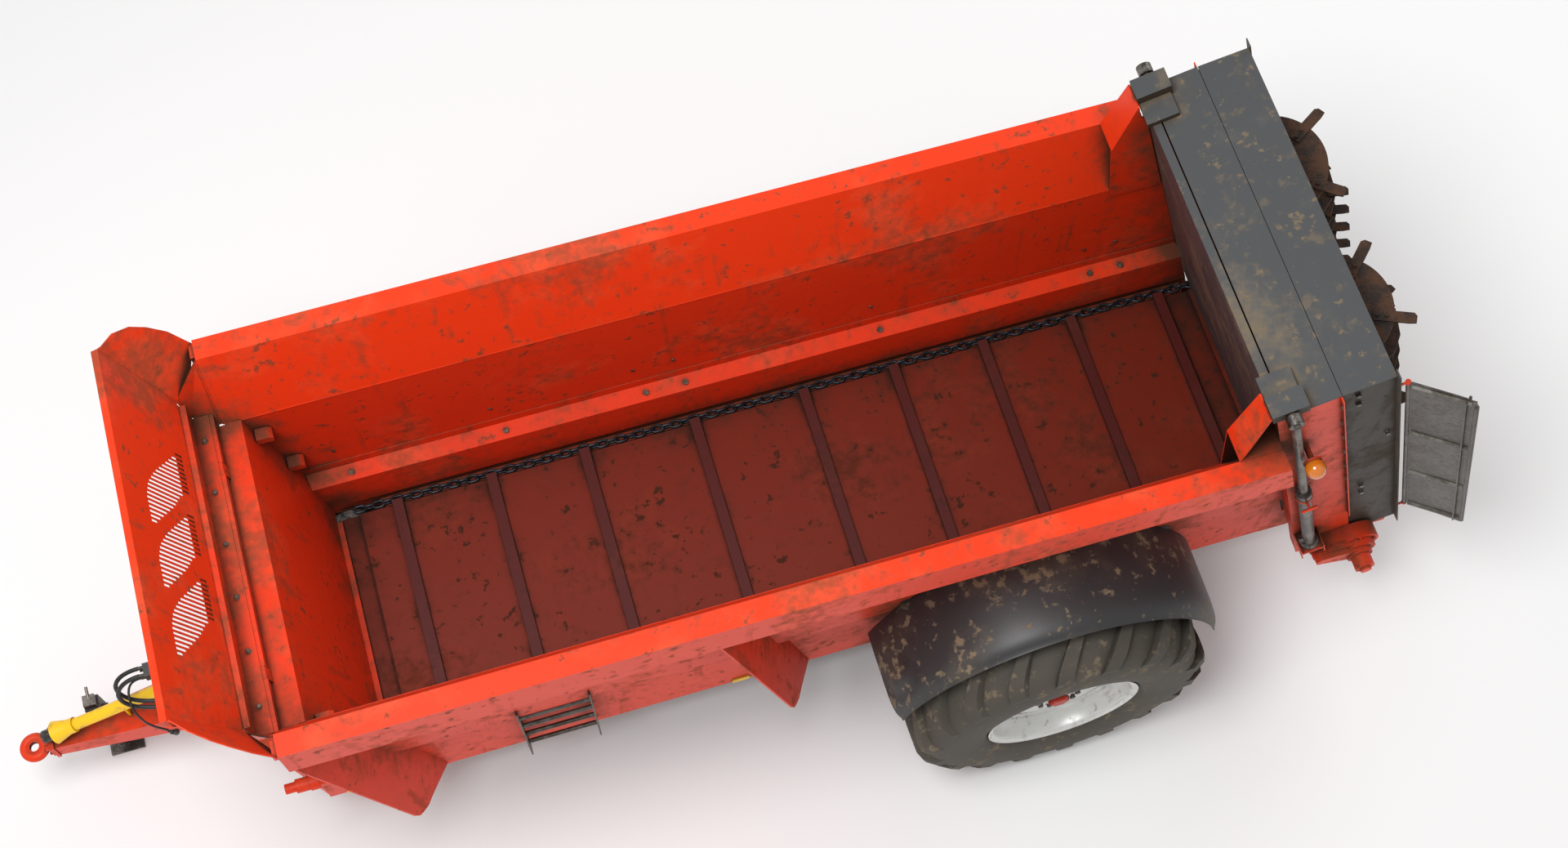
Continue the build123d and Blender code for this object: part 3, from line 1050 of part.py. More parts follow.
def slats(z, up):
    """Cross bars between the two chains, each with a foot on a flat link at both ends."""
    seat = z + up * CHAIN_WIRE / 2
    reach = CHAIN_Y - CHAIN_WIRE / 2 - 1
    return [box((x - SLAT_WIDTH / 2, x + SLAT_WIDTH / 2), (-reach, reach), (seat, seat + up * SLAT_HEIGHT)) for x in slat_positions()]


def link(x, y, z, flat):
    """One square-section chain link, lying flat or standing on edge."""
    half = CHAIN_PITCH / 2 + CHAIN_WIRE
    wide, thick = LINK_SLOT / 2 + CHAIN_WIRE, CHAIN_WIRE / 2
    if flat:
        return box((x - half, x + half), (y - wide, y + wide), (z - thick, z + thick)) - \
            box((x - CHAIN_PITCH / 2, x + CHAIN_PITCH / 2), (y - LINK_SLOT / 2, y + LINK_SLOT / 2), (z - wide, z + wide))
    return box((x - half, x + half), (y - thick, y + thick), (z - wide, z + wide)) - \
        box((x - CHAIN_PITCH / 2, x + CHAIN_PITCH / 2), (y - wide, y + wide), (z - LINK_SLOT / 2, z + LINK_SLOT / 2))


def chain(z):
    """Both chains of one run, from above the drive shaft to above the idler shaft."""
    first = FIRST_SLAT + 2 * LINK_PAIR
    count = int((first - DRIVE_X) / CHAIN_PITCH)
    flat, edge = link(0, CHAIN_Y, z, True), link(0, CHAIN_Y, z, False)
    parts = []
    for i in range(count + 1):
        parts += both((flat if i % 2 == 0 else edge).moved(Location((first - i * CHAIN_PITCH, 0, 0))))
    return parts


def floor_shaft(x, outer, extra):
    """Shaft with a pocket wheel for each chain."""
    hub_r = SPROCKET_PITCH_R - LINK_SLOT / 2 - CHAIN_WIRE - 4
    shaft = rod((x, -outer, DRIVE_Z), (x, outer + extra, DRIVE_Z), DRIVE_SHAFT_R)
    wheels = [rod((x, s * (CHAIN_Y - 22), DRIVE_Z), (x, s * (CHAIN_Y + 22), DRIVE_Z), hub_r) for s in (1, -1)]
    for s in (1, -1):
        for i in range(SPROCKET_TEETH):
            a = math.radians(360 / SPROCKET_TEETH * (i + 0.5))
            x0, z0 = x + (hub_r - 26) * math.cos(a), DRIVE_Z + (hub_r - 26) * math.sin(a)
            wheels.append(rod((x0, s * (CHAIN_Y - 26), z0), (x0, s * (CHAIN_Y + 26), z0), 20))
    return [fuse(shaft, *wheels)]


def shaft_bearings():
    """Flanged bearings of the two floor shafts, in the chassis rails."""
    parts = []
    for x in (DRIVE_X, IDLER_X):
        housing = fuse(rod((x, CHASSIS_OUTER - PLATE, DRIVE_Z), (x, CHASSIS_OUTER + 26, DRIVE_Z), BEARING_R - CLEAR),
                       rod((x, CHASSIS_OUTER, DRIVE_Z), (x, CHASSIS_OUTER + 14, DRIVE_Z), BEARING_R + 22))
        parts += both(housing - rod((x, CHASSIS_OUTER - 40, DRIVE_Z), (x, CHASSIS_OUTER + 40, DRIVE_Z), DRIVE_SHAFT_R + FIT))
    return parts


def tensioners():
    """Sliding tensioners of the idler shaft: stepped housings ahead of the chassis rails."""
    parts = []
    for x0, x1, r in ((CHASSIS_FRONT, 3720, 42), (3719, 3790, 36), (3789, 3845, 26)):
        parts.append(rod((x0, CHAIN_Y, DRIVE_Z), (x1, CHAIN_Y, DRIVE_Z), r))
    return both(fuse(*parts))


def reflectors():
    """Small side reflectors along the rails of the chassis."""
    parts = []
    for x in (3480, 1460, 200):
        parts += both(box((x, x + 90), (CHASSIS_OUTER, CHASSIS_OUTER + 9), (CHASSIS_BOTTOM + 6, CHASSIS_BOTTOM + 46)))
    return parts


# ---- hoses --------------------------------------------------------------------------------------------
# routes relative to the front face of the hose holder, chosen by hand
HOSE_RADIUS = 11
CABLE_RADIUS = 6
HOSE_A = [(24, 20, 16), (60, 20, 16), (122, 34, -4), (160, 52, -57), (160, 72, -121), (122, 92, -174), (60, 110, -194),
          (-10, 124, -200), (-85, 134, -192), (-170, 140, -172), (-258, 140, -150), (-344, 140, -150)]
HOSE_B = [(24, -20, 16), (60, -20, 16), (124, -12, -6), (166, 4, -60), (170, 24, -128), (136, 46, -186), (74, 66, -216),
          (0, 82, -226), (-80, 95, -222), (-170, 104, -200), (-258, 104, -178), (-344, 104, -178)]
CABLE = [(24, 20, -16), (56, 20, -16), (88, 36, -26), (104, 68, -44), (108, 104, -68), (106, 138, -98), (100, 158, -138),
         (94, 166, -190), (90, 168, -246), (80, 168, -300), (66, 168, -354), (50, 166, -406), (30, 165, -459)]


def bend_radii(points):
    """The largest arc that each corner's two runs leave room for."""
    radii = []
    for a, b, c in zip(points, points[1:], points[2:]):
        before, after = Vector(*b) - Vector(*a), Vector(*c) - Vector(*b)
        turn = math.radians(before.get_angle(after))
        radii.append(0.45 * min(before.length, after.length) / math.tan(turn / 2))
    return radii


def hose(route, radius, name):
    """A tube of straight runs and arcs along a route given from the holder's front face."""
    base = Vector(HOLDER[0] + HOLDER_SIZE[0] / 2, HOLDER[1], HOLDER[2])
    points = [tuple(base + Vector(*p)) for p in route]
    radii = bend_radii(points)
    path = FilletPolyline(*points, radius=radii)
    start = Plane(Vector(*points[0]), z_dir=Vector(*points[1]) - Vector(*points[0]))
    tube = sweep(start * Circle(radius), path=path)
    length = path.length
    print(f"{name}: length {length:.0f}, least radius {min(radii):.0f}, "
          f"volume ratio {tube.volume / (math.pi * radius ** 2 * length):.4f}")
    return tube.solids()


def hose_plug():
    """Plug on the end of the cable, lying in line with it."""
    base = Vector(HOLDER[0] + HOLDER_SIZE[0] / 2, HOLDER[1], HOLDER[2])
    end, before = base + Vector(*CABLE[-1]), base + Vector(*CABLE[-2])
    way = (end - before).normalized()
    return [fuse(rod(tuple(end), tuple(end + way * 26), 11), rod(tuple(end + way * 24), tuple(end + way * 66), 17))]


def hose_clip():
    """Bulkhead on the drop gearbox that the two hoses go back into."""
    base = Vector(HOLDER[0] + HOLDER_SIZE[0] / 2, HOLDER[1], HOLDER[2])
    ends = [base + Vector(*HOSE_A[-1]), base + Vector(*HOSE_B[-1])]
    x = ends[0].X
    block = box((x - 30, x), (min(e.Y for e in ends) - 24, max(e.Y for e in ends) + 24),
                (min(e.Z for e in ends) - 26, max(e.Z for e in ends) + 24))
    z0 = HOLDER[2] - 21
    strap = box((x - 30, x - 20), (HOLDER_ARM_Y - 14, HOLDER_ARM_Y + 14), (min(e.Z for e in ends), z0 + 2))
    return fuse(block, strap)


def left_right(name, make):
    """The same piece for the left and the right side, as two nodes."""
    return {f"{name}_left": make(1), f"{name}_right": make(-1)}


def build():
    """All nodes, each a list of solids."""
    wall = side_wall()[0]
    nodes = {
        "drawbar": drawbar(), "tow_eye": tow_eye(), "chassis_rails": chassis_rails(), "cross_members": cross_members(),
        "axle_beam": axle_beam(), "shaft_bearings": shaft_bearings(), "floor_plate": floor_plate(),
        "side_wall_left": [wall], "side_wall_right": [wall.mirror(Plane.XZ)],
        "chain_guards": chain_guards(), "wall_bolts": wall_bolts(), "headboard": headboard(),
        "front_screen": front_screen(), "screen_wings": screen_wings(), "side_fins": side_fins(), "ladder": step(),
        "fenders": fenders(), "fender_stays": fender_stays(), "rear_sides": rear_sides() + door_guides(), "rear_cladding": hood_cover() + rear_panels(),
        "corner_gussets": corner_gussets(), "beater_supports": beater_pan() + top_bearings(),
        "beater_gearboxes": beater_gearboxes(), "tensioners": tensioners(), "cylinder_barrels": cylinder_barrels(),
        "rear_brackets": cylinder_feet() + flap_hinge(), "lamp_dome": lamp_dome(), "floor_gearbox": floor_gearbox(),
        "hose_holder": [fuse(hose_holder()[0], hose_clip())], "drop_gearbox": drop_gearbox(),
        "pto_guard": pto_guard(), "parking_sleeve": parking_sleeve(), "reflectors": reflectors(),
        "door": door(), "door_brackets": door_brackets(), "lift_rods": lift_rods(), "deflector_flap": flap(),
        "drive_shaft": floor_shaft(DRIVE_X, CHASSIS_OUTER + 26, REAR_HALF_WIDTH + 50 - CHASSIS_OUTER - 26),
        "idler_shaft": floor_shaft(IDLER_X, CHASSIS_OUTER + 22, 0),
        "slats_upper": slats(CHAIN_TOP_Z, 1), "slats_lower": slats(CHAIN_LOW_Z, -1),
        "chain_upper": chain(CHAIN_TOP_Z), "chain_lower": chain(CHAIN_LOW_Z),
        "pto_shaft": pto_shaft(), "driveline": driveline(), "parking_leg": parking_leg(),
        "hose_upper": hose(HOSE_A, HOSE_RADIUS, "hose_upper"), "hose_lower": hose(HOSE_B, HOSE_RADIUS, "hose_lower"),
        "cable": hose(CABLE, CABLE_RADIUS, "cable"), "cable_plug": hose_plug(),
    }
    for name, make in (("tyre", tyre), ("rim", rim), ("hub", hub), ("beater", beater), ("paddles", paddles)):
        nodes.update(left_right(name, make))
    return nodes


def middle_x(nodes):
    """X of the middle of the whole machine."""
    boxes = [solid.bounding_box() for solids in nodes.values() for solid in solids]
    return (min(b.min.X for b in boxes) + max(b.max.X for b in boxes)) / 2


if __name__ == "__main__":
    nodes = build()
    shift = -middle_x(nodes)
    os.makedirs("parts", exist_ok=True)
    for name, solids in nodes.items():
        moved = [solid.moved(Location((shift, 0, 0))) for solid in solids]
        export_step(Compound(children=moved) if len(moved) > 1 else moved[0], f"parts/{name}.step")
    print(f"{len(nodes)} nodes, moved {shift:.3f} along X")
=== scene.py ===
"""The looks of the rear-discharge spreader trailer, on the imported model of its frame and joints.

Metres, +X towards the towing eye, +Y left, +Z up, with the origin on the ground below the middle.
"""
import json
import math

import bmesh
import bpy
from mathutils import Matrix, Vector


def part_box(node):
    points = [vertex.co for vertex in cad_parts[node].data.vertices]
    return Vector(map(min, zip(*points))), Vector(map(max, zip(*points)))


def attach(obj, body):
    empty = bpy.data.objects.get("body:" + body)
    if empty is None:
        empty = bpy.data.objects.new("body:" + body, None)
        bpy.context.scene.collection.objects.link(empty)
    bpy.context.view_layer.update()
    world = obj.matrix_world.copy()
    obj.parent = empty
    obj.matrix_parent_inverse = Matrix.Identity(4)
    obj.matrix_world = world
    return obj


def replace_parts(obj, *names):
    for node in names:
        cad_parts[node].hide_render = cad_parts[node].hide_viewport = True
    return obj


# ---- the machine's own sizes ----------------------------------------------------------------------
REAR_LEAN = math.radians(15.5)
UP = Vector((math.sin(REAR_LEAN), 0, math.cos(REAR_LEAN)))
BACK = Vector((-math.cos(REAR_LEAN), 0, math.sin(REAR_LEAN)))
TYRE_R = 0.775
TYRE_HALF = 0.3
LUG_COUNT = 18
LINK_PAIR = 0.1
LINK_HALF_LENGTH = 0.032
LINK_WIRE = 0.007
LINK_HALF_SLOT = 0.010
HOSE_D = 0.022
CABLE_D = 0.012
# routes from the front face of the hose holder, in metres
HOSE_A = [(.024, .020, .016), (.060, .020, .016), (.122, .034, -.004), (.160, .052, -.057), (.160, .072, -.121),
          (.122, .092, -.174), (.060, .110, -.194), (-.010, .124, -.200), (-.085, .134, -.192),
          (-.170, .140, -.172), (-.258, .140, -.150), (-.344, .140, -.150)]
HOSE_B = [(.024, -.020, .016), (.060, -.020, .016), (.124, -.012, -.006), (.166, .004, -.060), (.170, .024, -.128),
          (.136, .046, -.186), (.074, .066, -.216), (0, .082, -.226), (-.080, .095, -.222),
          (-.170, .104, -.200), (-.258, .104, -.178), (-.344, .104, -.178)]
CABLE = [(.024, .020, -.016), (.056, .020, -.016), (.088, .036, -.026), (.104, .068, -.044), (.108, .104, -.068),
         (.106, .138, -.098), (.100, .158, -.138), (.094, .166, -.190), (.090, .168, -.246), (.080, .168, -.300),
         (.066, .168, -.354), (.050, .166, -.406), (.030, .165, -.459)]
HOSE_END = 0.344              # the hoses' rear ends, behind the holder's front face
HOLDER_TOP = 0.033            # the holder's top above the hoses' middle
LENGTH_SHIFT = -1.462503      # from the axle to the middle of the machine's length
REAR_ORIGIN = Vector((-0.953 + LENGTH_SHIFT, 0, 2.620))
FLAP_HINGE = (0.579, 0.893, 0.078)
FLAP_TURN = math.radians(40)
FLAP_WIDTH, FLAP_LENGTH = 0.310, 1.906
PANEL_FACE_Y = 0.861
MUDGUARD_ANGLES = (math.radians(16.2), math.radians(163.8))
NUT_CIRCLE_R = 0.106
NUT_COUNT = 10
EYE = Vector((0.7295, 3.795, 11.215))
LOOK_YAW, LOOK_PITCH = math.radians(-106.565), math.radians(66.542)
LENS, SENSOR = 48.8, 36

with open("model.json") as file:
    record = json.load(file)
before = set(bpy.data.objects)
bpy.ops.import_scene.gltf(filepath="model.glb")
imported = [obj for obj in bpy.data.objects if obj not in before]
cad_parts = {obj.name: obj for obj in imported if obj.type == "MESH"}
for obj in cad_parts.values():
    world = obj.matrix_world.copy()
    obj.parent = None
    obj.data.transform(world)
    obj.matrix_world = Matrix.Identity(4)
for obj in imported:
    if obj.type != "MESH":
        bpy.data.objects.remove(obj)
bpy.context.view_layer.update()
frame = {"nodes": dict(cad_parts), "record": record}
nodes = frame["nodes"]


# ---- node graphs ----------------------------------------------------------------------------------
class Value:
    """A socket of a node graph that can be used in plain arithmetic."""

    def __init__(self, graph, socket):
        self.graph, self.socket = graph, socket

    def _math(self, operation, a, b):
        return self.graph.node("ShaderNodeMath", {"operation": operation}, {0: a, 1: b})

    def __add__(self, other):
        return self._math("ADD", self, other)

    def __radd__(self, other):
        return self._math("ADD", other, self)

    def __sub__(self, other):
        return self._math("SUBTRACT", self, other)

    def __rsub__(self, other):
        return self._math("SUBTRACT", other, self)

    def __mul__(self, other):
        return self._math("MULTIPLY", self, other)

    def __rmul__(self, other):
        return self._math("MULTIPLY", other, self)


class Graph:
    """A node tree whose nodes are all made by one method."""

    def __init__(self, tree):
        self.tree = tree

    def node(self, kind, settings=None, sockets=None, out=0):
        made = self.tree.nodes.new(kind)
        for name, value in (settings or {}).items():
            if name == "stops":
                ramp = made.color_ramp.elements
                for i, (place, colour) in enumerate(value):
                    stop = ramp[i] if i < len(ramp) else ramp.new(place)
                    stop.position, stop.color = place, (*colour, 1)
            else:
                setattr(made, name, value)
        for name, value in (sockets or {}).items():
            if isinstance(value, Value):
                self.tree.links.new(value.socket, made.inputs[name])
            else:
                made.inputs[name].default_value = value
        return Value(self, made.outputs[out]) if len(made.outputs) else made


class Finish(Graph):
    """A material made from patterns on the piece's own coordinates. Fixed values are the same all over."""

    def __init__(self, name, roughness=0.5, metallic=0.0, **fixed):
        self.material = bpy.data.materials.new(name)
        self.material.use_nodes = True
        super().__init__(self.material.node_tree)
        self.shader = self.tree.nodes["Principled BSDF"]
        self.place = self.node("ShaderNodeTexCoord", out=3)
        self.set("Roughness", roughness)
        self.set("Metallic", metallic)
        for key, value in fixed.items():
            self.set(key.replace("_", " "), value)

    def set(self, name, value):
        if isinstance(value, Value):
            self.tree.links.new(value.socket, self.shader.inputs[name])
        else:
            self.shader.inputs[name].default_value = value

    def noise(self, scale, detail=4.0, stretch=(1, 1, 1), shift=0.0):
        spot = self.node("ShaderNodeMapping", None, {"Vector": self.place, "Scale": stretch,
                                                     "Location": (shift, shift, 0)})
        grain = {"Vector": spot, "Scale": scale, "Detail": detail, "Roughness": 0.6}
        return self.node("ShaderNodeTexNoise", None, grain)

    def step(self, value, low, high):
        """0 below low, 1 above high and smooth between."""
        return self.node("ShaderNodeMapRange", {"interpolation_type": "SMOOTHSTEP"}, {0: value, 1: low, 2: high})

    def crevice(self, distance):
        """1 in corners and 0 on open faces."""
        shade = self.node("ShaderNodeAmbientOcclusion", {"samples": 4}, {"Distance": distance}, out=1)
        return 1 - shade

    def most(self, first, *others):
        """The largest of several masks."""
        for other in others:
            first = self.node("ShaderNodeMath", {"operation": "MAXIMUM"}, {0: first, 1: other})
        return first

    def blend(self, amount, first, second):
        def colour(c):
            return c if isinstance(c, Value) else (*c, 1)

        colours = {0: amount, 6: colour(first), 7: colour(second)}
        return self.node("ShaderNodeMix", {"data_type": "RGBA"}, colours, out=2)

    def bump(self, height, strength, depth):
        relief = {"Strength": strength, "Distance": depth, "Height": height}
        self.set("Normal", self.node("ShaderNodeBump", None, relief))


def weathered(name, base, faded, dirt, roughness=0.42, dirt_and_shade_amount=0.8, corners=0.15, runs=0.35, spots=0.5, metallic=0.0,
              fading=0.6, sides=0.0):
    """Painted sheet: faded patches, painted shade in the corners in the dirt's colour, runs down the walls, scratches
    and scattered spots.

    corners is how far the painted shade reaches out of a corner, in metres, and sides how much darker the faces that
    look sideways are made.
    """
    f = Finish(name, metallic=metallic, Specular_IOR_Level=0.22)
    patches, cloud, fine, grain = f.noise(1.3, 6), f.noise(4.5, 8, shift=3), f.noise(19, 8, shift=5), f.noise(75, 3)
    worn = f.step(patches + (cloud - 0.5) * 0.6, 0.48, 0.70) * fading
    colour = f.blend(worn, base, faded)
    scratches = f.step(f.noise(9, 4, stretch=(0.25, 6, 6), shift=1), 0.66, 0.70) * f.step(cloud, 0.5, 0.62) * 0.5
    colour = f.blend(scratches, colour, faded)
    streaks = f.step(f.noise(9, 6, stretch=(1, 1, 0.10)) + (fine - 0.5) * 0.25, 0.56, 0.70) * runs
    spotting = f.step(fine + (cloud - 0.5) * 0.35, 0.60, 0.68) * spots
    # painted shade: ambient occlusion darkens the corners towards the dirt's colour
    crevice = f.crevice(corners)
    corner_shade = f.step(crevice + (cloud - 0.5) * 0.8 + (fine - 0.5) * 0.4, 0.16, 0.56) * dirt_and_shade_amount
    soil = f.step(patches + (fine - 0.5) * 0.5, 0.50, 0.70) * dirt_and_shade_amount * 0.6
    mask = f.most(corner_shade, streaks, spotting, soil)
    # the colour of the dirt marks, darkened deep in the corners to a third as painted shade
    dirt_and_shade_colour = f.blend(f.step(crevice, 0.25, 0.8), dirt, tuple(0.3 * c for c in dirt))
    colour = f.blend(mask, colour, dirt_and_shade_colour)
    # faces that look sideways, along Y, are darkened towards a near-black brown
    if sides:
        facing = f.node("ShaderNodeSeparateXYZ", None, {"Vector": f.node("ShaderNodeTexCoord", out=1)}, out=1)
        walls = f.step(facing * facing + (fine - 0.5) * 0.5, 0.35, 0.8) * sides
        colour = f.blend(walls, colour, SIDEWAYS_DARK)
    f.set("Base Color", colour)
    f.set("Roughness", roughness + mask * 0.4 + (grain - 0.5) * 0.12 + worn * 0.12)
    f.bump(mask * 0.5 + grain * 0.2 + fine * 0.35, 0.35, 0.003)
    return f.material


def rough_metal(name, dark, light, roughness=0.6, metallic=0.5, scale=14):
    """Bare or rusty metal with a mottled colour."""
    f = Finish(name, metallic=metallic)
    mottle, grain = f.noise(scale, 8), f.noise(scale * 9, 3, shift=2)
    f.set("Base Color", f.blend(f.step(mottle + (grain - 0.5) * 0.5, 0.36, 0.66), dark, light))
    f.set("Roughness", roughness + (mottle - 0.5) * 0.5)
    f.bump(mottle * 0.5 + grain * 0.5, 0.4, 0.002)
    return f.material


def splashed_plastic(name, base, mud, amount=0.5, roughness=0.45):
    """Moulded plastic with dried mud splats, a film of dust and painted shade in its corners."""
    f = Finish(name)
    film, splat, grain = f.noise(3, 6), f.noise(17, 7, shift=5), f.noise(120, 2)
    mask = f.step(splat + (film - 0.5) * 0.45, 0.56, 0.66) * amount + f.step(film, 0.45, 0.8) * 0.3
    # painted shade: the corners go towards a quarter of the base colour
    corner_shade = f.step(f.crevice(0.09), 0.12, 0.6) * 0.85
    f.set("Base Color", f.blend(corner_shade, f.blend(mask, base, mud), tuple(0.25 * c for c in base)))
    f.set("Roughness", roughness + mask * 0.4)
    f.bump(mask * 0.7 + grain * 0.2, 0.4, 0.002)
    return f.material


SIDEWAYS_DARK = (0.036, 0.024, 0.014)  # near-black brown for the faces that look sideways


def make_finishes():
    """The finishes by name: the record's slots and, for the slats, a darker and more purple copy of the floor paint,
    its darkness painted shade.
    """
    soil, mud = (0.105, 0.050, 0.022), (0.15, 0.105, 0.06)
    return {
        "red_paint": weathered("red_paint", (0.74, 0.040, 0.007), (0.78, 0.085, 0.028), soil, 0.40, 0.95, 0.36,
                               0.45, 0.7),
        "floor_red": weathered("floor_red", (0.155, 0.015, 0.0045), (0.20, 0.024, 0.008), (0.030, 0.013, 0.006),
                               0.5, 0.95, 0.3, 0.2, 0.85),
        # painted shade: the slats' copy of the floor paint is darker, and more purple
        "slat_shaded_red": weathered("slat_shaded_red", (0.075, 0.012, 0.010), (0.105, 0.018, 0.013), (0.030, 0.013, 0.006),
                              0.45, 0.7, 0.1, 0.2, 0.5),
        "grey_paint": weathered("grey_paint", (0.066, 0.068, 0.070), (0.105, 0.100, 0.092),
                                (0.20, 0.145, 0.085), 0.5, 0.95, 0.12, 0.4, 0.7, sides=0.9),
        "rust_brown": rough_metal("rust_brown", (0.016, 0.008, 0.005), (0.075, 0.032, 0.014), 0.75, 0.25),
        "black_plastic": splashed_plastic("black_plastic", (0.026, 0.026, 0.027), (0.20, 0.15, 0.09), 0.8),
        "tyre": splashed_plastic("tyre", (0.060, 0.051, 0.040), (0.17, 0.135, 0.09), 0.8, 0.75),
        "rim_silver": weathered("rim_silver", (0.70, 0.70, 0.68), (0.82, 0.82, 0.80), (0.17, 0.13, 0.085), 0.33,
                                0.9, 0.06, 0.35, 0.5, 0.3),
        "hub_red": weathered("hub_red", (0.45, 0.03, 0.012), (0.55, 0.07, 0.03), soil, 0.4, 0.9, 0.06),
        "yellow_plastic": splashed_plastic("yellow_plastic", (0.92, 0.56, 0.006), (0.30, 0.20, 0.07), 0.45, 0.35),
        "hose_rubber": splashed_plastic("hose_rubber", (0.011, 0.011, 0.012), (0.08, 0.065, 0.05), 0.3, 0.5),
        "steel": rough_metal("steel", (0.055, 0.05, 0.045), (0.22, 0.20, 0.18), 0.4, 0.8, 9),
        "chain_steel": rough_metal("chain_steel", (0.012, 0.015, 0.021), (0.05, 0.056, 0.068), 0.45, 0.6, 30),
        "galvanised": rough_metal("galvanised", (0.055, 0.046, 0.036), (0.15, 0.14, 0.125), 0.45, 0.65, 5),
        "bolt_steel": rough_metal("bolt_steel", (0.06, 0.04, 0.028), (0.17, 0.13, 0.10), 0.5, 0.6, 60),
        "amber_lamp": Finish("amber_lamp", 0.12, Base_Color=(0.62, 0.17, 0.01, 1), Coat_Weight=0.8).material,
    }


finishes = make_finishes()


# ---- making meshes --------------------------------------------------------------------------------
def piece(name, verts, faces, finish, body=None, smooth=40):
    """A mesh piece with a finish, shaded smooth except along sharp edges."""
    mesh = bpy.data.meshes.new(name)
    mesh.from_pydata([tuple(v) for v in verts], [], faces)
    made = bpy.data.objects.new(name, mesh)
    bpy.context.scene.collection.objects.link(made)
    mesh.materials.append(finishes[finish])
    tidy(mesh, smooth)
    if body:
        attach(made, body)
    return made


def tidy(mesh, smooth=40):
    """Merge doubles, turn faces outwards and mark sharp edges."""
    work = bmesh.new()
    work.from_mesh(mesh)
    bmesh.ops.remove_doubles(work, verts=work.verts, dist=1e-5)
    bmesh.ops.recalc_face_normals(work, faces=work.faces)
    work.to_mesh(mesh)
    work.free()
    mesh.polygons.foreach_set("use_smooth", [True] * len(mesh.polygons))
    mesh.set_sharp_from_angle(angle=math.radians(smooth))


def turned(profile, centre, side, steps=96):
    """Vertices and faces of a closed profile of (radius, y) turned about the axle."""
    verts, faces, n = [], [], len(profile)
    for i in range(steps):
        a = 2 * math.pi * i / steps
        verts += [(centre.x + r * math.cos(a), centre.y + y * side, centre.z + r * math.sin(a)) for r, y in profile]
    for i in range(steps):
        j = (i + 1) % steps
        faces += [(i * n + k, i * n + (k + 1) % n, j * n + (k + 1) % n, j * n + k) for k in range(n)
                  if profile[k][0] + profile[(k + 1) % n][0] > 0]
    return verts, faces


def repeat_tree():
    """Geometry nodes that put copies of a piece in a row, each moved and turned a step further."""
    tree = bpy.data.node_groups.new("repeat_in_steps", "GeometryNodeTree")
    for name, kind in (("Piece", "NodeSocketObject"), ("Count", "NodeSocketInt"), ("Start", "NodeSocketVector"),
                       ("Step", "NodeSocketVector"), ("Turn", "NodeSocketVector"), ("Finish", "NodeSocketMaterial")):
        tree.interface.new_socket(name, in_out="INPUT", socket_type=kind)
    tree.interface.new_socket("Geometry", in_out="OUTPUT", socket_type="NodeSocketGeometry")
    g = Graph(tree)
    given = tree.nodes.new("NodeGroupInput")
    at = {socket.name: Value(g, socket) for socket in given.outputs if socket.name}
    line = g.node("GeometryNodeMeshLine", None, {"Count": at["Count"], "Start Location": at["Start"],
                                                 "Offset": at["Step"]})
    source = g.node("GeometryNodeObjectInfo", None, {"Object": at["Piece"]}, out=4)
    turns = g.node("ShaderNodeVectorMath", {"operation": "SCALE"},
                   {0: at["Turn"], "Scale": g.node("GeometryNodeInputIndex")})
    turned_by = g.node("FunctionNodeEulerToRotation", None, {0: turns})
    copies = g.node("GeometryNodeInstanceOnPoints", None, {"Points": line, "Instance": source, "Rotation": turned_by})
    real = g.node("GeometryNodeRealizeInstances", None, {0: copies})
    done = g.node("GeometryNodeSetMaterial", None, {"Geometry": real, "Material": at["Finish"]})
    end = tree.nodes.new("NodeGroupOutput")
    tree.links.new(done.socket, end.inputs["Geometry"])
    return tree


repeat_nodes = repeat_tree()


def repeat(name, source, finish, body, count, start=(0, 0, 0), step=(0, 0, 0), turn=(0, 0, 0), smooth=40):
    """A plain mesh of count copies of source. The source itself is removed."""
    mesh = bpy.data.meshes.new(name)
    holder = bpy.data.objects.new(name, mesh)
    bpy.context.scene.collection.objects.link(holder)
    modifier = holder.modifiers.new("repeat", "NODES")
    modifier.node_group = repeat_nodes
    values = {"Piece": source, "Count": count, "Start": start, "Step": step, "Turn": turn, "Finish": finishes[finish]}
    for item in repeat_nodes.interface.items_tree:
        if item.in_out == "INPUT":
            modifier[item.identifier] = values[item.name]
    bpy.context.view_layer.update()
    graph = bpy.context.evaluated_depsgraph_get()
    result = bpy.data.meshes.new_from_object(holder.evaluated_get(graph))
    holder.modifiers.remove(modifier)
    holder.data = result
    result.materials.clear()
    result.materials.append(finishes[finish])
    tidy(result, smooth)
    bpy.data.objects.remove(source)
    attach(holder, body)
    return holder


# ---- wheels ---------------------------------------------------------------------------------------
def crown(y):
    """Outer radius of the tread at a distance from the tyre's middle."""
    edge = abs(y) / TYRE_HALF
    return TYRE_R - 0.001 - 0.012 * edge ** 2 - 0.085 * max(0.0, edge - 0.78) ** 1.2 * 3.2


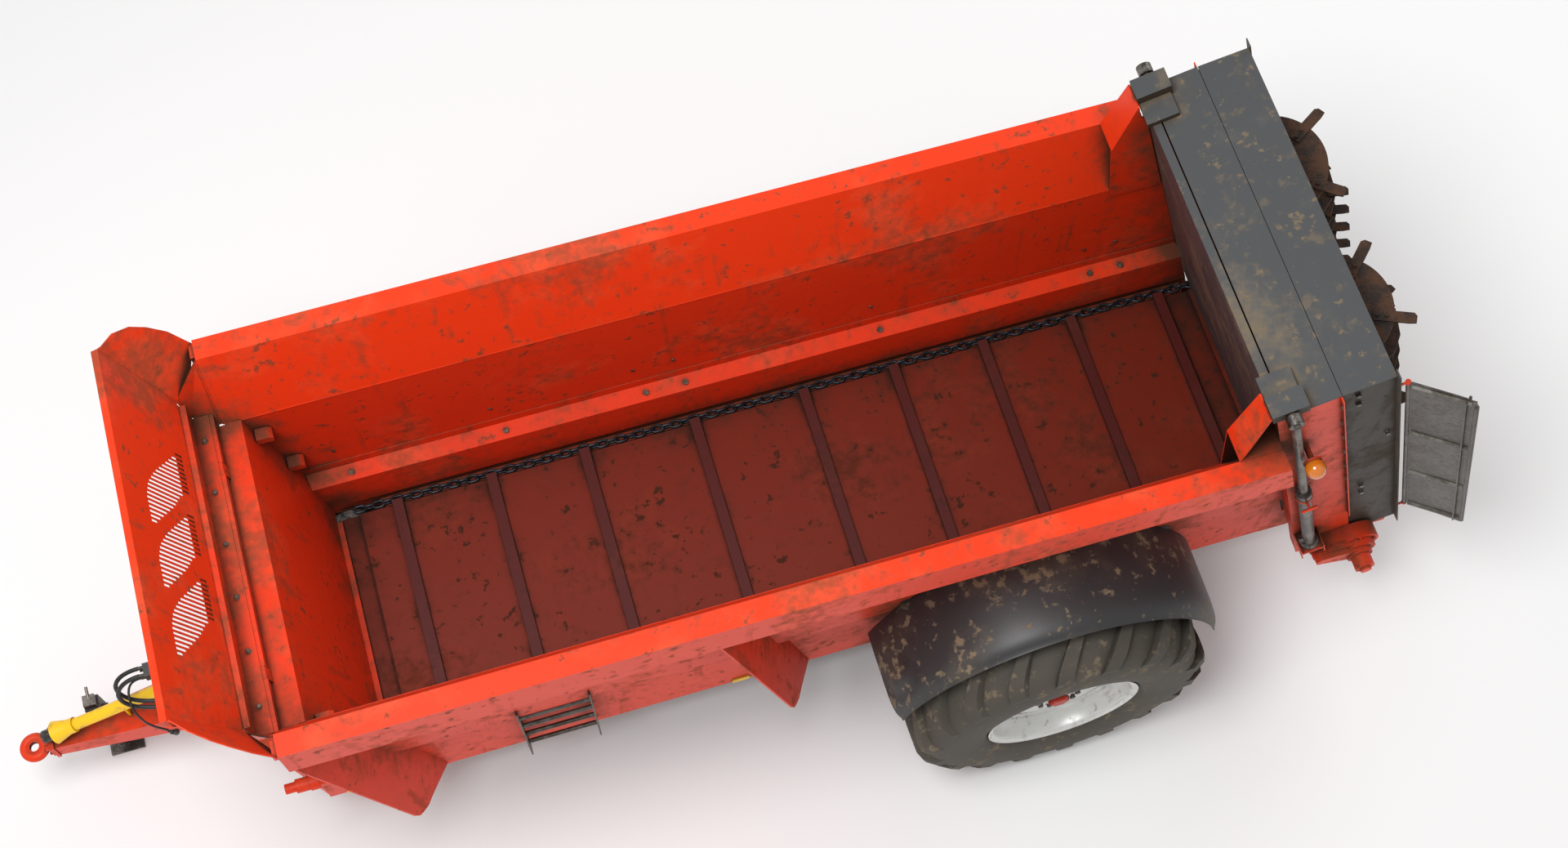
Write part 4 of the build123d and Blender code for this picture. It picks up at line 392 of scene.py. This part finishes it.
def tyre(side_name, side):
    """Farm tyre: a round-shouldered body with slanting lugs that wrap over both shoulders."""
    low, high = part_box(f"tyre_{side_name}")
    centre = (low + high) / 2
    seat, w = 0.3746, TYRE_HALF
    outer = [(seat, w - 0.054), (0.404, w - 0.045), (0.418, w - 0.030), (0.434, w - 0.020), (0.50, w - 0.006),
             (0.56, w - 0.001), (0.62, w - 0.004), (0.67, w - 0.016), (0.70, w - 0.038), (0.722, w - 0.075),
             (0.730, w - 0.13), (0.735, w - 0.2), (0.737, 0)]
    inner = [(0.72, 0), (0.712, w - 0.14), (0.68, w - 0.07), (0.64, w - 0.036), (0.56, w - 0.026),
             (0.434, w - 0.046), (seat, w - 0.076)]
    profile = outer + [(r, -y) for r, y in reversed(outer[:-1])] + [(r, -y) for r, y in reversed(inner[1:])] + inner
    verts, faces = turned(profile, centre, side, 88)
    wheel = f"{side_name}_wheel"
    parts = [piece(f"tyre_body_{side_name}", verts, faces, "tyre", wheel, 60)]
    lug_turn, stations = 2 * math.pi / LUG_COUNT, 9
    for half in (1, -1):
        verts, faces = [], []
        for i in range(stations):
            t = i / (stations - 1)
            y = half * (0.012 - 0.02 * (1 - t) + t * (TYRE_HALF - 0.022))
            swing = -0.30 * t ** 0.85
            top = crown(y)
            deep = 0.05 + 0.02 * t
            width = 0.034 + 0.018 * t
            if t > 0.85:
                top, deep = top - 0.03 * (t - 0.85) / 0.15, 0.06
            for r, spread in ((top - deep, 1.25), (top, 0.85), (top, -0.85), (top - deep, -1.25)):
                a = swing + width * spread / TYRE_R
                verts.append((r * math.cos(a), y * side, r * math.sin(a)))
        for i in range(stations - 1):
            for k in range(4):
                faces.append((i * 4 + k, i * 4 + (k + 1) % 4, i * 4 + 4 + (k + 1) % 4, i * 4 + 4 + k))
        last = (stations - 1) * 4
        faces += [(3, 2, 1, 0), (last, last + 1, last + 2, last + 3)]
        ring = repeat(f"tyre_lugs_{side_name}_{'out' if half > 0 else 'in'}", piece("lug", verts, faces, "tyre"),
                      "tyre", wheel, LUG_COUNT, turn=(0, -lug_turn, 0), smooth=35)
        offset = 0 if half > 0 else lug_turn / 2
        for vert in ring.data.vertices:
            x, z = vert.co.x, vert.co.z
            vert.co = (x * math.cos(offset) - z * math.sin(offset) + centre.x, vert.co.y + centre.y,
                       x * math.sin(offset) + z * math.cos(offset) + centre.z)
        parts.append(ring)
    for part in parts:
        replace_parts(part, f"tyre_{side_name}")


# ---- chains ---------------------------------------------------------------------------------------
def link_mesh(x, flat):
    """A round-wire link: a flat or upright oval."""
    path = []
    bend, turn_r, sides = LINK_HALF_LENGTH - LINK_HALF_SLOT - LINK_WIRE, LINK_HALF_SLOT + LINK_WIRE, 6
    for centre, start in ((bend, -90), (-bend, 90)):
        for i in range(4):
            a = math.radians(start + 60 * i)
            path.append((centre + turn_r * math.cos(a), turn_r * math.sin(a), math.cos(a), math.sin(a)))
    verts, faces, n = [], [], len(path)
    for px, py, cx, cy in path:
        for k in range(sides):
            b = 2 * math.pi * (k + 0.5) / sides
            out, up = LINK_WIRE * math.cos(b), LINK_WIRE * math.sin(b)
            u, v = px + cx * out, py + cy * out
            verts.append((x + u, v, up) if flat else (x + u, up, v))
    for i in range(n):
        j = (i + 1) % n
        faces += [(i * sides + k, i * sides + (k + 1) % sides, j * sides + (k + 1) % sides, j * sides + k)
                  for k in range(sides)]
    return verts, faces


def chains(run):
    """Both chains of one run."""
    low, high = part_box(f"chain_{run}")
    first = high.x - 0.039
    count = round((high.x - low.x - 0.078) / LINK_PAIR) + 1
    middle, y = (low.z + high.z) / 2, high.y - 0.024
    for side, name in ((1, "left"), (-1, "right")):
        verts, faces = link_mesh(0, True)
        more, again = link_mesh(-LINK_PAIR / 2, False)
        faces = faces + [tuple(k + len(verts) for k in face) for face in again]
        pair = piece("link_pair", verts + more, faces, "chain_steel")
        made = repeat(f"chain_{run}_{name}", pair, "chain_steel", f"{run}_run", count - 1,
                      (first, side * y, middle), (-LINK_PAIR, 0, 0), smooth=70)
        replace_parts(made, f"chain_{run}")


# ---- fasteners and small fittings -----------------------------------------------------------------
def hexagon_bolt(across, height, chamfer=0.15):
    """A washer and a chamfered hexagon head, standing along +Z from the origin."""
    verts, faces = [], []
    corner_r, seat = across / 2 / math.cos(math.pi / 6), height * 0.2
    washer = (12, ((across * 0.66, 0), (across * 0.66, seat), (across * 0.50, seat)))
    head = (6, ((corner_r, seat + 0.0004), (corner_r, height * (1 - chamfer)), (corner_r * 0.86, height)))
    for sides, rings in (washer, head):
        first = len(verts)
        for radius, z in rings:
            turns = [2 * math.pi * i / sides for i in range(sides)]
            verts += [(radius * math.cos(a), radius * math.sin(a), z) for a in turns]
        for low in (first, first + sides):
            faces += [(low + i, low + (i + 1) % sides, low + sides + (i + 1) % sides, low + sides + i)
                      for i in range(sides)]
        faces += [tuple(range(first + sides - 1, first - 1, -1)), tuple(range(first + 2 * sides, first + 3 * sides))]
    return verts, faces


def placed(verts, origin, out):
    """Points moved to origin with +Z turned to out."""
    turn = Vector(out).normalized().to_track_quat("Z", "Y")
    return [Vector(origin) + turn @ Vector(v) for v in verts]


def bolt_row(name, origin, out, across, height, finish, body, count=1, step=(0, 0, 0)):
    """A row of bolts from origin, a step apart, with their heads towards out."""
    verts, faces = hexagon_bolt(across, height)
    source = piece("bolt", placed(verts, (0, 0, 0), out), faces, finish)
    return repeat(name, source, finish, body, count, origin, step, smooth=30)


def rear_point(n, y, h):
    """A point of the leaning rear unit, from the hood's front edge of the side plate."""
    return REAR_ORIGIN + BACK * n + Vector((0, y, 0)) + UP * h


def fasteners():
    """Bolts on the rear panels, their posts, the mudguards and the screen's ledge."""
    panel_rows = ((0.365, 0.06, 2, 0.115), (0.365, -1.30, 2, 0.115), (0.50, -0.62, 1, 0))
    guard_low, guard_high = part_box("fenders")
    guard_x, guard_top = guard_low.x + (guard_high.x - guard_low.x) / 2 - 0.12, guard_high.z - 0.002
    for side, name in ((1, "left"), (-1, "right")):
        for k, (n, h, count, gap) in enumerate(panel_rows):
            bolt_row(f"panel_bolts_{name}_{k}", rear_point(n, side * PANEL_FACE_Y, h), (0, side, 0), 0.024, 0.016,
                     "steel", "frame", count, tuple(-UP * gap))
        bolt_row(f"post_bolts_{name}", rear_point(0.286, side * 0.892, 0.05), tuple(-BACK), 0.017, 0.010,
                 "bolt_steel", "frame", 7, tuple(-UP * 0.21))
        bolt_row(f"mudguard_bolts_{name}", (guard_x, side * 0.85, guard_top), (0, 0, 1), 0.019, 0.009,
                 "bolt_steel", "frame", 3, (0.12, 0, 0))
    bolt_row("ledge_bolts", (2.205, -0.66, 2.1385), (0, 0, 1), 0.019, 0.011, "bolt_steel", "frame", 6, (0, 0.264, 0))


def bead(route, radius):
    """Vertices and faces of a round weld along straight runs."""
    curve = bpy.data.curves.new("bead", "CURVE")
    curve.dimensions, curve.bevel_depth, curve.bevel_resolution, curve.use_fill_caps = "3D", radius, 1, True
    spline = curve.splines.new("POLY")
    spline.points.add(len(route) - 1)
    for point, place in zip(spline.points, route):
        point.co = (*place, 1)
    source = bpy.data.objects.new("bead", curve)
    bpy.context.scene.collection.objects.link(source)
    bpy.context.view_layer.update()
    line = bpy.data.meshes.new_from_object(source.evaluated_get(bpy.context.evaluated_depsgraph_get()))
    verts, faces = [v.co.copy() for v in line.vertices], [tuple(f.vertices) for f in line.polygons]
    bpy.data.objects.remove(source)
    bpy.data.meshes.remove(line)
    return verts, faces


def weld_beads():
    """Welds that close the seams of the screen's corner plates and run along the side walls' folds."""
    routes = {"screen": (0.007, [(2.4545, 0.866, 2.868), (2.2665, 0.812, 2.316), (2.2435, 0.800, 2.136)]),
              "rail": (0.007, [(2.1275, 0.911, 2.452), (2.1270, 0.768, 2.068), (2.155, 0.768, 2.066)]),
              "fold": (0.0032, [(2.115, 0.7605, 2.058), (0.5, 0.7605, 2.058), (-2.2, 0.7605, 2.058)])}
    for side, name in ((1, "left"), (-1, "right")):
        for seam, (radius, route) in routes.items():
            verts, faces = bead([(x, side * y, z) for x, y, z in route], radius)
            piece(f"weld_{seam}_{name}", verts, faces, "red_paint", "frame", 60)


def flap_ribs():
    """Folded cross ribs and a long rod on the outer face of the deflector flap."""
    way = BACK * math.cos(FLAP_TURN) + Vector((0, 1, 0)) * math.sin(FLAP_TURN)
    out = way.cross(UP).normalized()
    out = out if out.y > 0 else -out
    hinge = rear_point(*FLAP_HINGE)

    verts, faces = [], []

    def at(across, down, rise):
        return hinge + way * across - UP * down + out * rise

    def bar(corner_a, corner_b, wide, tall):
        """A rib with sloping flanks from corner_a to corner_b, both (across, down)."""
        along = Vector((corner_b[0] - corner_a[0], corner_b[1] - corner_a[1])).normalized()
        aside = Vector((-along.y, along.x))
        base = len(verts)
        for corner in (corner_a, corner_b):
            for spread, rise in ((-wide / 2, -0.0005), (-wide * 0.3, tall), (wide * 0.3, tall), (wide / 2, -0.0005)):
                verts.append(at(corner[0] + aside.x * spread, corner[1] + aside.y * spread, rise))
        faces.extend([(base + k, base + (k + 1) % 4, base + 4 + (k + 1) % 4, base + 4 + k) for k in range(4)])
        faces.extend([(base + 3, base + 2, base + 1, base), (base + 4, base + 5, base + 6, base + 7)])
    for down in (0.05, FLAP_LENGTH * 0.36, FLAP_LENGTH * 0.68, FLAP_LENGTH - 0.07):
        bar((0.02, down), (FLAP_WIDTH - 0.03, down), 0.032, 0.012)
    bar((FLAP_WIDTH - 0.055, 0.03), (FLAP_WIDTH - 0.055, FLAP_LENGTH - 0.05), 0.012, 0.020)
    bar((FLAP_WIDTH - 0.014, 0.09), (FLAP_WIDTH - 0.018, FLAP_LENGTH - 0.03), 0.014, 0.008)
    piece("flap_ribs", verts, faces, "galvanised", "deflector", 25)


# ---- mudguards ------------------------------------------------------------------------------------
def mudguard(side_name, side):
    """A moulded arch with a rounded outer shoulder, a flared edge and an oval recess near its front end."""
    axle = (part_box(f"tyre_{side_name}")[0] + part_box(f"tyre_{side_name}")[1]) / 2
    section = [(0.773, 0.8914), (0.86, 0.8916), (0.95, 0.8916), (1.00, 0.8915), (1.04, 0.8914), (1.08, 0.8912),
               (1.12, 0.890), (1.155, 0.8875), (1.185, 0.883), (1.208, 0.876), (1.225, 0.867), (1.236, 0.8595),
               (1.2495, 0.856)]
    skin = section + [(y - 0.003, r - 0.0065) for y, r in reversed(section)]
    skin[-1] = (0.773, 0.8855)
    (first, last), steps = MUDGUARD_ANGLES, 84
    verts, faces, n = [], [], len(skin)
    for i in range(steps + 1):
        a = first + (last - first) * i / steps
        for y, r in skin:
            oval = math.hypot((math.degrees(a) - 27) / 8.5, (y - 1.075) / 0.085)
            press = 0.011 * (max(0.0, 1 - abs(oval - 1) / 0.28) - 0.55 * max(0.0, min(1.0, (0.85 - oval) / 0.2)))
            verts.append((axle.x + (r - press) * math.cos(a), side * y, axle.z + (r - press) * math.sin(a)))
    for i in range(steps):
        faces += [(i * n + k, i * n + (k + 1) % n, i * n + n + (k + 1) % n, i * n + n + k) for k in range(n)]
    faces += [tuple(range(n - 1, -1, -1)), tuple(range(steps * n, steps * n + n))]
    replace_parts(piece(f"mudguard_{side_name}", verts, faces, "black_plastic", "frame", 50), "fenders")


# ---- wheel centres --------------------------------------------------------------------------------
def wheel_centre(side_name, side):
    """Stepped rim with its dished disc, and the hub plate with nuts and a small cap."""
    low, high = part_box(f"rim_{side_name}")
    centre, h = (low + high) / 2, (high.y - low.y) / 2
    wheel = f"{side_name}_wheel"
    back = [(0.399, h - 0.001), (0.399, h - 0.008), (0.3735, h - 0.014), (0.3715, h - 0.07), (0.3355, h - 0.12)]
    front = [(0.327, h - 0.150), (0.327, h - 0.128), (0.334, h - 0.118), (0.343, h - 0.114), (0.346, h - 0.100),
             (0.354, h - 0.092), (0.3565, h - 0.076), (0.3635, h - 0.068), (0.3645, h - 0.030),
             (0.369, h - 0.018), (0.383, h - 0.013), (0.391, h - 0.001)]
    far = [(0.391, 0.001 - h), (0.366, 0.012 - h), (0.363, 0.074 - h), (0.327, 0.124 - h)]
    barrel = back + [(r, -y) for r, y in reversed(back)] + far + front
    disc = [(0.328, h - 0.165), (0.315, h - 0.156), (0.296, h - 0.152), (0.282, h - 0.149), (0.270, h - 0.136),
            (0.263, h - 0.118), (0.250, h - 0.106), (0.215, h - 0.098), (0.170, h - 0.103), (0.131, h - 0.108)]
    disc += [(r, y - 0.012) for r, y in reversed(disc)]
    verts, faces = turned(barrel, centre, side, 96)
    more, again = turned(disc, centre, side, 96)
    faces = faces + [tuple(k + len(verts) for k in face) for face in again]
    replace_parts(piece(f"rim_body_{side_name}", verts + more, faces, "rim_silver", wheel, 40), f"rim_{side_name}")
    plate = [(0, h - 0.24), (0.088, h - 0.24), (0.09, h - 0.122), (0.134, h - 0.120), (0.136, h - 0.098),
             (0.132, h - 0.094), (0.078, h - 0.093), (0.066, h - 0.080), (0, h - 0.079)]
    verts, faces = turned(plate, centre, side, 48)
    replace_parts(piece(f"hub_plate_{side_name}", verts, faces, "rim_silver", wheel, 40), f"hub_{side_name}")
    cap = [(0, h - 0.085), (0.056, h - 0.085), (0.056, h - 0.062), (0.046, h - 0.055), (0, h - 0.0535)]
    verts, faces = turned(cap, centre, side, 6)
    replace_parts(piece(f"hub_cap_{side_name}", verts, faces, "hub_red", wheel, 30), f"hub_{side_name}")
    verts, faces = hexagon_bolt(0.026, 0.020)
    nut = piece("nut", placed(verts, (NUT_CIRCLE_R, 0, 0), (0, side, 0)), faces, "steel")
    nuts = repeat(f"wheel_nuts_{side_name}", nut, "steel", wheel, NUT_COUNT,
                  turn=(0, 2 * math.pi / NUT_COUNT, 0), smooth=30)
    nuts.data.transform(Matrix.Translation((centre.x, centre.y + side * (h - 0.095), centre.z)))
    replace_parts(nuts, f"hub_{side_name}")


# ---- hoses ----------------------------------------------------------------------------------------
def cord(name, route, diameter, finish="hose_rubber"):
    """A smooth curve through the holder's hoses, as a NURBS spline with its own round section."""
    curve = bpy.data.curves.new(name, "CURVE")
    curve.dimensions = "3D"
    curve.bevel_depth = diameter / 2
    curve.bevel_resolution = 3
    curve.resolution_u = 8
    curve.use_fill_caps = True
    spline = curve.splines.new("NURBS")
    spline.points.add(len(route) - 1)
    for point, place in zip(spline.points, route):
        point.co = (*(holder_front + Vector(place)), 1)
    spline.order_u = 3
    spline.use_endpoint_u = True
    made = bpy.data.objects.new(name, curve)
    bpy.context.scene.collection.objects.link(made)
    curve.materials.append(finishes[finish])
    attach(made, "frame")
    return made


holder_front = Vector((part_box("hose_upper")[0].x + HOSE_END, 0.0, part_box("hose_holder")[1].z - HOLDER_TOP))


def cords():
    """Both hoses and the light cable, each along its route."""
    lengths = {"hose_upper": (HOSE_A, HOSE_D, "object", ()), "hose_lower": (HOSE_B, HOSE_D, "object", ()),
               "cable": (CABLE, CABLE_D, "plug", (nodes["cable_plug"],))}
    for name, (route, diameter, end, extra) in lengths.items():
        made = cord(f"{name}_line", route, diameter)
        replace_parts(made, name)
        bare = bpy.data.objects.new("bare", made.data.copy())
        bare.data.bevel_depth = 0
        bpy.context.scene.collection.objects.link(bare)
        bpy.context.view_layer.update()
        line = bpy.data.meshes.new_from_object(bare.evaluated_get(bpy.context.evaluated_depsgraph_get()))
        bpy.data.meshes.remove(line)
        bpy.data.objects.remove(bare)


# ---- the scene ------------------------------------------------------------------------------------
def camera():
    """The camera, high on the left side, looking down into the box."""
    flat = math.cos(LOOK_PITCH)
    look = Vector((math.cos(LOOK_YAW) * flat, math.sin(LOOK_YAW) * flat, -math.sin(LOOK_PITCH)))
    data = bpy.data.cameras.new("camera")
    data.lens, data.sensor_width = LENS, SENSOR
    made = bpy.data.objects.new("camera", data)
    made.location = EYE
    made.rotation_euler = look.to_track_quat("-Z", "Y").to_euler()
    bpy.context.scene.collection.objects.link(made)
    bpy.context.scene.camera = made


def lamp(name, place, target, size, power):
    """A round soft lamp that points at target."""
    data = bpy.data.lights.new(name, "AREA")
    data.shape, data.size, data.energy = "DISK", size, power
    made = bpy.data.objects.new(name, data)
    made.location = place
    made.rotation_euler = (Vector(target) - Vector(place)).to_track_quat("-Z", "Y").to_euler()
    bpy.context.scene.collection.objects.link(made)


def studio():
    """A pale floor, a bright sky and two soft lamps."""
    world = bpy.data.worlds.new("studio")
    bpy.context.scene.world = world
    bpy.context.scene.view_settings.view_transform = "Standard"
    world.use_nodes = True
    world.node_tree.nodes["Background"].inputs[0].default_value = (1, 1, 1, 1)
    world.node_tree.nodes["Background"].inputs[1].default_value = 0.62
    lamp("key", (3, 2, 12), (0, 0, 1), 5, 950)
    lamp("fill", (-9, -5, 8), (0, 0, 1), 6, 260)
    mesh, reach = bpy.data.meshes.new("floor"), 60
    corners = [(-reach, -reach, 0), (reach, -reach, 0), (reach, reach, 0), (-reach, reach, 0)]
    mesh.from_pydata(corners, [], [(0, 1, 2, 3)])
    floor = bpy.data.objects.new("floor", mesh)
    bpy.context.scene.collection.objects.link(floor)
    mesh.materials.append(Finish("studio_floor", 0.9, Base_Color=(0.86, 0.86, 0.86, 1)).material)


camera()
studio()
slots = {part["node"]: part["material_slot"] for part in frame["record"]["subparts"]}
for name, node in nodes.items():
    node.data.materials.clear()
    # the slats take the darker copy of the floor paint, as painted shade
    node.data.materials.append(finishes["slat_shaded_red" if name.startswith("slat") else slots[name]])
cords()
fasteners()
flap_ribs()
weld_beads()
for side_name, side in (("left", 1), ("right", -1)):
    tyre(side_name, side)
    wheel_centre(side_name, side)
    mudguard(side_name, side)
for run in ("upper", "lower"):
    chains(run)
